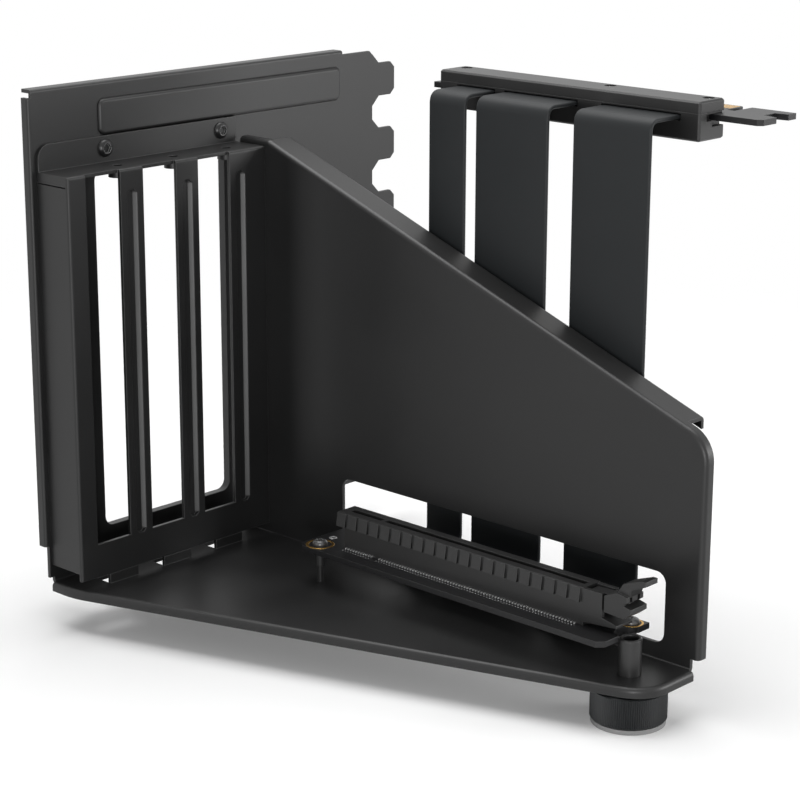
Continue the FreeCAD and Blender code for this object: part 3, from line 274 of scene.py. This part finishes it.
bead_middles, bead_half, bead_floor, bead_face = (45.235, 24.915, 4.595), 1.78, 20.1, 21.28
flank_foot, flank_top, flank_end, flank_start = -56.7, 42.6, 0.9, 0.95
flank_rings = []
for z, inset in ((flank_foot, flank_end), (flank_foot + flank_end, 0.0),
                 (flank_top - flank_end, 0.0), (flank_top, flank_end)):
    corners = ((bead_floor, flank_start + inset * 0.5, z), (bead_face - inset * 0.6, bead_half, z),
               (bead_floor, bead_half, z))
    flank_rings.append([Vector(corner) * MM for corner in corners])
copies("bead_flanks", lofted("bead_flank", flank_rings), [(0, middle * MM, 0) for middle in bead_middles],
       pressed_coat, "frame", crease=5)

# Cage screws: two button heads with a hex socket, in black oxide with near-white painted edges, partly
# rubbed metal and partly a painted highlight. They go through the cage's flange into the rear plate.


def turned(name, rings, sides=36, unit=MM):
    """A mesh of rings up the Z axis; a ring is (height, radius), and the radius may follow the angle."""
    turns = [2 * math.pi * k / sides for k in range(sides)]
    stack = []
    for height, radius in rings:
        reach = [(radius(turn) if callable(radius) else radius) * unit for turn in turns]
        stack.append([(r * math.cos(turn), r * math.sin(turn), height * unit)
                      for r, turn in zip(reach, turns)])
    return lofted(name, stack, capped=rings[0] != rings[-1])


def hexagon(flats):
    """The radius of a hexagon at each angle."""
    return lambda angle: flats / 2 / math.cos((angle + math.pi / 6) % (math.pi / 3) - math.pi / 6)


black_oxide = coated("black_oxide", (0.008, 0.008, 0.0085), (0.014, 0.014, 0.0145), (0.6, 0.6, 0.6),
                     rough=0.3, grain_scale=5000, depth=0.00001, radius=0.0003, specular=0.5, metallic=0.2)
button_reach, button_radius = 3.2, 2.5
button_head = turned("button_head", [
    (-button_reach, 1.4), (-0.01, 1.48), (0, 2.4), (0.2, button_radius), (0.55, 2.36), (0.85, 2.05),
    (1.08, 1.72), (1.18, 1.5), (1.16, hexagon(2.46)), (0.4, hexagon(2.4))])
cage_low, cage_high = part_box("cage_screws")
cage_screw_at = [(cage_low.x + button_reach * MM, y, (cage_low.z + cage_high.z) / 2)
                 for y in (cage_low.y + button_radius * MM, cage_high.y - button_radius * MM)]
cage_screw_set = copies("cage_screw_set", button_head, cage_screw_at, black_oxide, "frame",
                        turn=(0, math.radians(90), 0))
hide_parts("cage_screws")

# Riser board: black solder mask over glass fibre, with a paler sawn edge. Bare gold rings
# surround both screws, and a small tinned ring marks a grounding hole beside the slot.

board_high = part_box("riser_board")[1]
solder_mask = coated("solder_mask", (0.0035, 0.0035, 0.004), (0.005, 0.005, 0.0055), (0.02, 0.02, 0.02),
                     rough=0.4, grain_scale=900, depth=0.000006, radius=0.0002, specular=0.4)
dress(solder_mask, "riser_board")
gold_plate = coated("gold_plate", (0.58, 0.32, 0.07), (0.7, 0.42, 0.11), (0.85, 0.58, 0.2),
                    rough=0.28, grain_scale=2500, depth=0.000006, radius=0.00005, specular=0.5, metallic=1.0)
tin_plate = coated("tin_plate", (0.75, 0.75, 0.75), (0.9, 0.9, 0.89), (0.95, 0.95, 0.95),
                   rough=0.32, grain_scale=2500, depth=0.000008, radius=0.00005, specular=0.5, metallic=0.85)


def on_board(x, y):
    """A place on the board's upper face, by its millimetres."""
    return Vector((x * MM, y * MM, board_high.z))


def washer(name, middle, inner, outer, finish):
    """A thin plated ring on the board."""
    thick = 0.05
    made = piece(name, turned(name, [(0, inner), (0, outer), (thick, outer - thick), (thick, inner + thick),
                                     (0, inner)], sides=48))
    made.data.transform(Matrix.Translation(middle))
    made.data.materials.append(finish)
    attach(made, "frame")


screw_a, screw_b, ground_hole = on_board(63.3, 35.0), on_board(165.0, 47.7), on_board(62.0, 41.5)
washer("screw_ring_rear", screw_a, inner=3.3, outer=4.1, finish=gold_plate)
washer("screw_ring_front", screw_b, inner=2.6, outer=3.2, finish=gold_plate)
washer("ground_ring", ground_hole, inner=0.5, outer=1.2, finish=tin_plate)

# Pillars and board screws: two turned steel pillars with slender feet carry the board, and a
# pan head with a cross recess goes through the board into each of them.

plain_steel = coated("plain_steel", (0.025, 0.025, 0.025), (0.035, 0.035, 0.035), (0.07, 0.07, 0.07),
                     rough=0.36, grain_scale=2600, depth=0.00001, radius=0.0002, specular=0.5, metallic=0.3)
dress(plain_steel, "board_pillars")


def cross(long, wide):
    """The radius of a cross recess at each angle."""
    def radius(angle):
        off = min(angle % (math.pi / 2), math.pi / 2 - angle % (math.pi / 2))
        return long if off < math.atan2(wide, long) + 1e-6 else wide * 1.35
    return radius


screw_steel = coated("screw_steel", (0.06, 0.06, 0.06), (0.1, 0.1, 0.1), (0.3, 0.3, 0.3),
                     rough=0.32, grain_scale=4000, depth=0.00001, radius=0.00012, specular=0.5, metallic=0.5)
pan_head = turned("pan_head", [
    (-6.0, 0.8), (-5.8, 0.95), (-0.01, 0.95), (0, 2.15), (0.35, 2.2), (0.8, 2.05), (1.15, 1.75), (1.36, 1.35),
    (1.4, cross(1.15, 0.3)), (0.75, cross(0.85, 0.22))], sides=48)
board_screw_set = copies("board_screw_set", pan_head, [screw_a, screw_b], screw_steel, "frame",
                         turn=(0, 0, math.radians(20)))
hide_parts("board_screws")

# Slot connector: moulded matte black, with grip blocks along both sides. Two rows of tinned
# tails are soldered to the board beside it, and gilt springs stand in both walls of its slit.

moulded = coated("moulded_black", (0.0125, 0.0125, 0.0125), (0.0155, 0.0155, 0.0155), (0.035, 0.035, 0.035),
                 rough=0.42, grain_scale=2200, depth=0.00001, radius=0.0002, specular=0.5)
dress(moulded, "slot_housing", "slot_latch")

contact_row, row_in, row_out = node_tree("contact_row", [
    ("Geometry", "Geometry"), ("Count", "Int"), ("Pitch", "Float"), ("Key After", "Int"),
    ("Key Shift", "Float"), ("Finish", "Material")])
line = node(contact_row, "GeometryNodeMeshLine", mode="OFFSET")
step = node(contact_row, "ShaderNodeCombineXYZ")
number = node(contact_row, "GeometryNodeInputIndex")
beyond = node(contact_row, "FunctionNodeCompare", data_type="INT", operation="GREATER_EQUAL")
number_in, key_in = [socket for socket in beyond.inputs if socket.type == "INT"][:2]
leap = node(contact_row, "ShaderNodeMath", operation="MULTIPLY")
shift = node(contact_row, "ShaderNodeCombineXYZ")
moved = node(contact_row, "GeometryNodeSetPosition")
row_placed = node(contact_row, "GeometryNodeInstanceOnPoints")
row_solid = node(contact_row, "GeometryNodeRealizeInstances")
row_painted = node(contact_row, "GeometryNodeSetMaterial")
wire(contact_row,
     (row_in.outputs["Count"], line.inputs["Count"]),
     (row_in.outputs["Pitch"], step.inputs["X"]),
     (step.outputs["Vector"], line.inputs["Offset"]),
     (number.outputs["Index"], number_in),
     (row_in.outputs["Key After"], key_in),
     (beyond.outputs["Result"], leap.inputs[0]),
     (row_in.outputs["Key Shift"], leap.inputs[1]),
     (leap.outputs["Value"], shift.inputs["X"]),
     (line.outputs["Mesh"], moved.inputs["Geometry"]),
     (shift.outputs["Vector"], moved.inputs["Offset"]),
     (moved.outputs["Geometry"], row_placed.inputs["Points"]),
     (row_in.outputs["Geometry"], row_placed.inputs["Instance"]),
     (row_placed.outputs["Instances"], row_solid.inputs["Geometry"]),
     (row_solid.outputs["Geometry"], row_painted.inputs["Geometry"]),
     (row_in.outputs["Finish"], row_painted.inputs["Material"]),
     (row_painted.outputs["Geometry"], row_out.inputs["Geometry"]))


def blocks(name, boxes):
    """A mesh of plain boxes with slightly narrowed tops; a box is (low corner, high corner, taper)."""
    stacks = []
    for low, high, taper in boxes:
        stacks.append([[(low[0] + inset, low[1] + inset, z), (high[0] - inset, low[1] + inset, z),
                        (high[0] - inset, high[1] - inset, z), (low[0] + inset, high[1] - inset, z)]
                       for z, inset in ((low[2], 0.0), (high[2], taper))])
    return lofted(name, *stacks)


def row(name, boxes, finish, body="frame", count=82, pitch=1.0, key_after=11, key_shift=2.0):
    """Like pieces at the pitch of the contacts, with the standard gap at the key."""
    host = piece(name, blocks(name, boxes))
    host.data = grown(host, contact_row, count=count, pitch=pitch * MM, key_after=key_after,
                      key_shift=key_shift * MM, finish=finish)
    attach(host, body)


slot_low, slot_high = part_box("slot_housing")
slot_middle = (slot_low.y + slot_high.y) / 2
first_pin = 71.65 * MM


def both_sides(near, far, half, low, high, taper):
    """The box of a contact on each side of the slot's middle line, by millimetres from it."""
    boxes = []
    for side in (-1, 1):
        start, end = sorted((slot_middle + side * near * MM, slot_middle + side * far * MM))
        boxes.append(((first_pin - half * MM, start, low), (first_pin + half * MM, end, high), taper * MM))
    return boxes


tail_tall, speck_tall = 0.4 * MM, 0.06 * MM
tails = both_sides(near=3.42, far=4.1, half=0.15, low=board_high.z, high=board_high.z + tail_tall,
                   taper=0.04)
specks = both_sides(near=4.95, far=5.25, half=0.11, low=board_high.z, high=board_high.z + speck_tall,
                    taper=0.04)
row("solder_tails", tails + specks, tin_plate)
slit_half, spring_thick, spring_foot, spring_top = 0.95, 0.28, 8.2 * MM, 1.6 * MM
springs = both_sides(near=slit_half, far=slit_half - spring_thick, half=0.22, low=slot_high.z - spring_foot,
                     high=slot_high.z - spring_top, taper=0.08)
row("slit_springs", springs, gold_plate)

# Latch: a lever moulded in the same black, which turns between the cheeks of the housing. The
# end of its finger has fine teeth for a fingertip.

latch_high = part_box("slot_latch")[1]
tooth_start, tooth_long, tooth_half, tooth_tall = 1.2 * MM, 0.35 * MM, 2.5 * MM, 0.28 * MM
tooth_low = (latch_high.x - tooth_start, slot_middle - tooth_half, latch_high.z - tooth_tall)
tooth_high = (latch_high.x - tooth_start + tooth_long, slot_middle + tooth_half, latch_high.z)
row("finger_teeth", [(tooth_low, tooth_high, 0.08 * MM)], moulded, body="latch", count=2,
    pitch=0.6, key_after=9, key_shift=0.0)

# Levelling foot: a steel bush riveted in the floor, a threaded stud in it, an anodised knob
# with a fine straight knurl, and a rubber pad that stays still while the knob turns.

turned_steel = coated("turned_steel", (0.03, 0.03, 0.03), (0.042, 0.042, 0.042), (0.1, 0.1, 0.1),
                      rough=0.34, grain_scale=3000, depth=0.00001, radius=0.0002, specular=0.5, metallic=0.4)
dress(turned_steel, "foot_stud")
bush_low, bush_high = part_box("foot_bush")
bush_radius, bush_shank, bush_bore, bush_edge = (bush_high.x - bush_low.x) / 2, 2.45 * MM, 2.03 * MM, 0.3 * MM
bush_tall = 9.9 * MM
bush_foot = bush_high.z - bush_tall
bush = piece("bush_turned", turned("bush_turned", [
    (bush_low.z, bush_bore), (bush_low.z, bush_shank), (bush_foot, bush_shank), (bush_foot, bush_radius),
    (bush_high.z - bush_edge, bush_radius), (bush_high.z, bush_radius - bush_edge),
    (bush_high.z, bush_bore + bush_edge), (bush_high.z - bush_edge, bush_bore), (bush_low.z, bush_bore)],
    sides=64, unit=1.0))
bush.data.transform(Matrix.Translation(((bush_low.x + bush_high.x) / 2, (bush_low.y + bush_high.y) / 2, 0)))
bush.data.set_sharp_from_angle(angle=math.radians(28))
bush.data.materials.append(turned_steel)
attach(bush, "frame")
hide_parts("foot_bush")

pad_rubber = coated("pad_rubber", (0.24, 0.24, 0.24), (0.3, 0.3, 0.3), (0.42, 0.42, 0.42),
                    rough=0.7, grain_scale=1500, depth=0.00004, radius=0.0002)
dress(pad_rubber, "foot_pad")

knob_metal = coated("knob_anodised", (0.0065, 0.0076, 0.0084), (0.0088, 0.0102, 0.0113), (0.03, 0.033, 0.036),
                    rough=0.4, grain_scale=2500, depth=0.000006, radius=0.0001, specular=0.5)
knurl, knurl_in, knurl_out = node_tree("straight_knurl", [
    ("Geometry", "Geometry"), ("Ribs", "Int"), ("Radius", "Float"), ("Rib", "Vector"), ("Middle", "Vector"),
    ("Finish", "Material")])
rim_points = node(knurl, "GeometryNodeMeshCircle")
rib_shape = node(knurl, "GeometryNodeMeshCube")
rib_index = node(knurl, "GeometryNodeInputIndex")
share = node(knurl, "ShaderNodeMath", operation="DIVIDE")
whole_turn = node(knurl, "ShaderNodeMath", {1: 2 * math.pi}, operation="MULTIPLY")
on_corner = node(knurl, "ShaderNodeMath", {1: math.pi / 4}, operation="ADD")
rib_turn = node(knurl, "ShaderNodeCombineXYZ")
ribs_placed = node(knurl, "GeometryNodeInstanceOnPoints")
ribs_moved = node(knurl, "GeometryNodeTransform")
with_body = node(knurl, "GeometryNodeJoinGeometry")
knob_solid = node(knurl, "GeometryNodeRealizeInstances")
knob_painted = node(knurl, "GeometryNodeSetMaterial")
wire(knurl,
     (knurl_in.outputs["Ribs"], rim_points.inputs["Vertices"]),
     (knurl_in.outputs["Radius"], rim_points.inputs["Radius"]),
     (knurl_in.outputs["Rib"], rib_shape.inputs["Size"]),
     (rib_index.outputs["Index"], share.inputs[0]),
     (knurl_in.outputs["Ribs"], share.inputs[1]),
     (share.outputs["Value"], whole_turn.inputs[0]),
     (whole_turn.outputs["Value"], on_corner.inputs[0]),
     (on_corner.outputs["Value"], rib_turn.inputs["Z"]),
     (rim_points.outputs["Mesh"], ribs_placed.inputs["Points"]),
     (rib_shape.outputs["Mesh"], ribs_placed.inputs["Instance"]),
     (rib_turn.outputs["Vector"], ribs_placed.inputs["Rotation"]),
     (ribs_placed.outputs["Instances"], ribs_moved.inputs["Geometry"]),
     (knurl_in.outputs["Middle"], ribs_moved.inputs["Translation"]),
     (knurl_in.outputs["Geometry"], with_body.inputs["Geometry"]),
     (ribs_moved.outputs["Geometry"], with_body.inputs["Geometry"]),
     (with_body.outputs["Geometry"], knob_solid.inputs["Geometry"]),
     (knob_solid.outputs["Geometry"], knob_painted.inputs["Geometry"]),
     (knurl_in.outputs["Finish"], knob_painted.inputs["Material"]),
     (knob_painted.outputs["Geometry"], knurl_out.inputs["Geometry"]))

knob_low, knob_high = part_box("foot_knob")
knob_middle = (knob_low + knob_high) / 2
foot_axis = Vector((knob_middle.x, knob_middle.y, 0))
knob_radius, rib_deep, rib_count = (knob_high.x - knob_low.x) / 2, 0.32 * MM, 106
knob_core, knob_shoulder = knob_radius - rib_deep * 0.9, 0.22 * MM
hollow_deep, hollow_roof, hollow_mouth = 1.7 * MM, 2.6 * MM, 2.7 * MM
dish_deep, dish_mouth, dish_floor = 0.6 * MM, 2.6 * MM, 2.0 * MM
knob = piece("knob_knurled", turned("knob_body", [
    (knob_low.z + hollow_deep, hollow_roof), (knob_low.z, hollow_mouth),
    (knob_low.z, knob_core - knob_shoulder), (knob_low.z + knob_shoulder, knob_core),
    (knob_high.z - knob_shoulder, knob_core),
    (knob_high.z, knob_core - knob_shoulder), (knob_high.z, dish_mouth),
    (knob_high.z - dish_deep, dish_floor)], sides=96, unit=1.0))
knob.data.transform(Matrix.Translation(foot_axis))
rib_side = rib_deep * 1.25
knob.data = grown(knob, knurl, ribs=rib_count, radius=knob_radius - rib_side * 0.72, finish=knob_metal,
                  rib=(rib_side, rib_side, knob_high.z - knob_low.z - 2 * knob_shoulder), middle=knob_middle)
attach(knob, "foot_screw")
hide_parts("foot_knob")

# Riser ribbons: three flat cables in a soft charcoal jacket, folded under the board and over
# into the plug. Each is swept along its own smooth line with rounded edges.

jacket = coated("ribbon_jacket", (0.0115, 0.0132, 0.0143), (0.0142, 0.016, 0.0172), (0.028, 0.03, 0.032),
                rough=0.55, grain_scale=1400, depth=0.00002, radius=0.0002, specular=0.3)
sweep, sweep_in, sweep_out = node_tree("ribbon_sweep", [
    ("Geometry", "Geometry"), ("Width", "Float"), ("Thickness", "Float"), ("Finish", "Material")])
upright = node(sweep, "GeometryNodeSetCurveNormal", mode="FREE")
upright.inputs["Normal"].default_value = (1, 0, 0)
outline = node(sweep, "GeometryNodeCurvePrimitiveQuadrilateral")
edge_radius = node(sweep, "ShaderNodeMath", {1: 0.48}, operation="MULTIPLY")
softened = node(sweep, "GeometryNodeFilletCurve", {"Count": 4, "Limit Radius": True}, mode="POLY")
swept = node(sweep, "GeometryNodeCurveToMesh", {"Fill Caps": True})
ribbon_solid = node(sweep, "GeometryNodeRealizeInstances")
ribbon_painted = node(sweep, "GeometryNodeSetMaterial")
wire(sweep,
     (sweep_in.outputs["Geometry"], upright.inputs["Curve"]),
     (sweep_in.outputs["Width"], outline.inputs["Width"]),
     (sweep_in.outputs["Thickness"], outline.inputs["Height"]),
     (sweep_in.outputs["Thickness"], edge_radius.inputs[0]),
     (outline.outputs["Curve"], softened.inputs["Curve"]),
     (edge_radius.outputs["Value"], softened.inputs["Radius"]),
     (upright.outputs["Curve"], swept.inputs["Curve"]),
     (softened.outputs["Curve"], swept.inputs["Profile Curve"]),
     (swept.outputs["Mesh"], ribbon_solid.inputs["Geometry"]),
     (ribbon_solid.outputs["Geometry"], ribbon_painted.inputs["Geometry"]),
     (sweep_in.outputs["Finish"], ribbon_painted.inputs["Material"]),
     (ribbon_painted.outputs["Geometry"], sweep_out.inputs["Geometry"]))

ribbon_thick, fold, run = 1.2 * MM, 6.0 * MM, 67.5 * MM
for name in ("ribbon_1", "ribbon_2", "ribbon_3"):
    low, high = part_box(name)
    top, foot = high.z - ribbon_thick / 2, low.z + ribbon_thick / 2
    route = [(high.y, top), (run + fold, top), (run, top), (run, top - fold), (run, (top + foot) / 2),
             (run, foot + fold), (run, foot), (run - fold, foot), (low.y, foot)]
    path = bpy.data.curves.new(name + "_path", "CURVE")
    path.dimensions, path.resolution_u = "3D", 16
    spline = path.splines.new("NURBS")
    spline.points.add(len(route) - 1)
    for point, (y, z) in zip(spline.points, route):
        point.co = ((low.x + high.x) / 2, y, z, 1)
    spline.order_u, spline.use_endpoint_u = 3, True
    guide = piece(name + "_guide", path)
    mesh = grown(guide, sweep, width=high.x - low.x, thickness=ribbon_thick, finish=jacket)
    bpy.data.objects.remove(guide)
    cable = piece(name + "_cable", mesh)
    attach(cable, "frame")
    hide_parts(name)

# Plug: two satin moulded shells with a seam, held by three sunk screws over the edge card. Its
# card is black solder mask with gilt fingers on both faces, and a key slot between them.

shell = coated("plug_shell", (0.012, 0.012, 0.012), (0.015, 0.015, 0.015), (0.05, 0.05, 0.05),
               rough=0.4, grain_scale=2600, depth=0.00001, radius=0.00025, specular=0.42)
dress(shell, "plug_base", "plug_lid")
dress(solder_mask, "plug_card")
sunk_radius, sunk_tall, middle_screw = 1.6, 1.0, 54.6 * MM
sunk_head = turned("sunk_head", [
    (-5.0, 0.7), (-4.8, 0.8), (-0.01, 0.8), (0, 1.55), (0.7, sunk_radius), (0.95, 1.4), (sunk_tall, 1.1),
    (0.98, hexagon(1.6)), (0.4, hexagon(1.55))])
sunk_low, sunk_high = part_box("plug_screws")
lid_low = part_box("plug_lid")[0]
plug_screw_at = [(x, (sunk_low.y + sunk_high.y) / 2, sunk_high.z - sunk_tall * MM) for x in (
    sunk_low.x + sunk_radius * MM, lid_low.x + middle_screw, sunk_high.x - sunk_radius * MM)]
plug_screw_set = copies("plug_screw_set", sunk_head, plug_screw_at, black_oxide, "frame")
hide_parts("plug_screws")

card_low, card_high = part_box("plug_card")
finger_half, finger_start, finger_end, plating = 0.35 * MM, 5.4 * MM, 0.5 * MM, 0.03 * MM
finger_boxes = [((first_pin - finger_half, card_high.y - finger_start, low_z),
                 (first_pin + finger_half, card_high.y - finger_end, high_z), 0.0)
                for low_z, high_z in ((card_high.z, card_high.z + plating),
                                      (card_low.z - plating, card_low.z))]
row("gilt_fingers", finger_boxes, gold_plate)

# The photograph's view: a pale floor under the pad that fades into a white surround, soft light
# from above, front and right, and a long lens at the height of the rear plate.

scene = bpy.context.scene
scene.view_settings.view_transform = "Standard"
floor_gap, floor_half, floor_thick = 0.02 * MM, 4, 0.01
floor_white, camera_lift = (0.9, 0.9, 0.9, 1), 0.1
fade_middle, fade_start, fade_end = (0.1, 0.03, 0), 0.2, 0.5
floor_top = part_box("foot_pad")[0].z - floor_gap
floor = piece("studio_floor", blocks("studio_floor", [
    ((-floor_half, -floor_half, floor_top - floor_thick), (floor_half, floor_half, floor_top), 0)]))
pale = bpy.data.materials.new("pale_floor")
pale.use_nodes = True
tree = pale.node_tree
tree.nodes.remove(tree.nodes["Principled BSDF"])
matte = node(tree, "ShaderNodeBsdfDiffuse", {"Color": floor_white})
glow = node(tree, "ShaderNodeEmission")
seen = node(tree, "ShaderNodeLightPath")
lift = node(tree, "ShaderNodeMath", {1: camera_lift}, operation="MULTIPLY")
total = node(tree, "ShaderNodeAddShader")
clear = node(tree, "ShaderNodeBsdfTransparent")
faded = node(tree, "ShaderNodeMixShader")
where = node(tree, "ShaderNodeTexCoord")
flat = node(tree, "ShaderNodeVectorMath", {1: (1, 1, 0)}, operation="MULTIPLY")
away = node(tree, "ShaderNodeVectorMath", {1: fade_middle}, operation="DISTANCE")
fade = node(tree, "ShaderNodeMapRange", {"From Min": fade_start, "From Max": fade_end},
            interpolation_type="SMOOTHSTEP")
wire(tree,
     (seen.outputs["Is Camera Ray"], lift.inputs[0]),
     (lift.outputs["Value"], glow.inputs["Strength"]),
     (matte.outputs["BSDF"], total.inputs[0]),
     (glow.outputs["Emission"], total.inputs[1]),
     (where.outputs["Object"], flat.inputs[0]),
     (flat.outputs["Vector"], away.inputs[0]),
     (away.outputs["Value"], fade.inputs["Value"]),
     (fade.outputs["Result"], faded.inputs["Fac"]),
     (total.outputs["Shader"], faded.inputs[1]),
     (clear.outputs["BSDF"], faded.inputs[2]),
     (faded.outputs["Shader"], tree.nodes["Material Output"].inputs["Surface"]))
floor.data.materials.append(pale)

sky_fill, sky_seen = 0.3, 1.0
world = bpy.data.worlds.new("studio")
world.use_nodes = True
scene.world = world
sky = world.node_tree
backdrop = sky.nodes["Background"]
backdrop.inputs["Color"].default_value = (1, 1, 1, 1)
rays = node(sky, "ShaderNodeLightPath")
either = node(sky, "ShaderNodeMath", operation="MAXIMUM")
any_seen = node(sky, "ShaderNodeMath", operation="MAXIMUM")
strength = node(sky, "ShaderNodeMapRange", {"To Min": sky_fill, "To Max": sky_seen})
wire(sky,
     (rays.outputs["Is Camera Ray"], either.inputs[0]),
     (rays.outputs["Is Glossy Ray"], either.inputs[1]),
     (either.outputs["Value"], any_seen.inputs[0]),
     (rays.outputs["Is Transmission Ray"], any_seen.inputs[1]),
     (any_seen.outputs["Value"], strength.inputs["Value"]),
     (strength.outputs["Result"], backdrop.inputs["Strength"]))


def softbox(name, place, target, width, power):
    """A round soft light that faces a target."""
    lamp = bpy.data.lights.new(name, "AREA")
    lamp.shape, lamp.size, lamp.energy = "DISK", width, power
    made = bpy.data.objects.new(name, lamp)
    made.location = place
    made.rotation_euler = (Vector(target) - Vector(place)).to_track_quat("-Z", "Y").to_euler()
    scene.collection.objects.link(made)


softbox("overhead_light", (-0.1, 0.1, 0.95), (0.08, 0.03, 0), 1.0, 10.0)
softbox("front_light", (0.66, -0.62, 0.06), (0.08, 0.03, 0), 0.16, 2.8)
softbox("right_light", (1.0, 0.8, 0.2), (0.05, 0.0, 0.03), 0.5, 5.6)

azimuth, elevation, roll = math.radians(43.196), math.radians(15.82), math.radians(0.184)
eye = Vector((0.5002, -0.3973, 0.15873))
back = Vector((math.sin(azimuth) * math.cos(elevation), -math.cos(azimuth) * math.cos(elevation),
               math.sin(elevation)))
level = Vector((math.cos(azimuth), math.sin(azimuth), 0))
upward = back.cross(level)
right = level * math.cos(roll) + upward * math.sin(roll)
up = upward * math.cos(roll) - level * math.sin(roll)
lens = bpy.data.cameras.new("long_lens")
lens.sensor_width, lens.lens, lens.clip_start = 36, 102.715, 0.01
camera = bpy.data.objects.new("camera", lens)
camera.matrix_world = Matrix((
    (right.x, up.x, back.x, eye.x), (right.y, up.y, back.y, eye.y), (right.z, up.z, back.z, eye.z),
    (0, 0, 0, 1)))
scene.collection.objects.link(camera)
scene.camera = camera
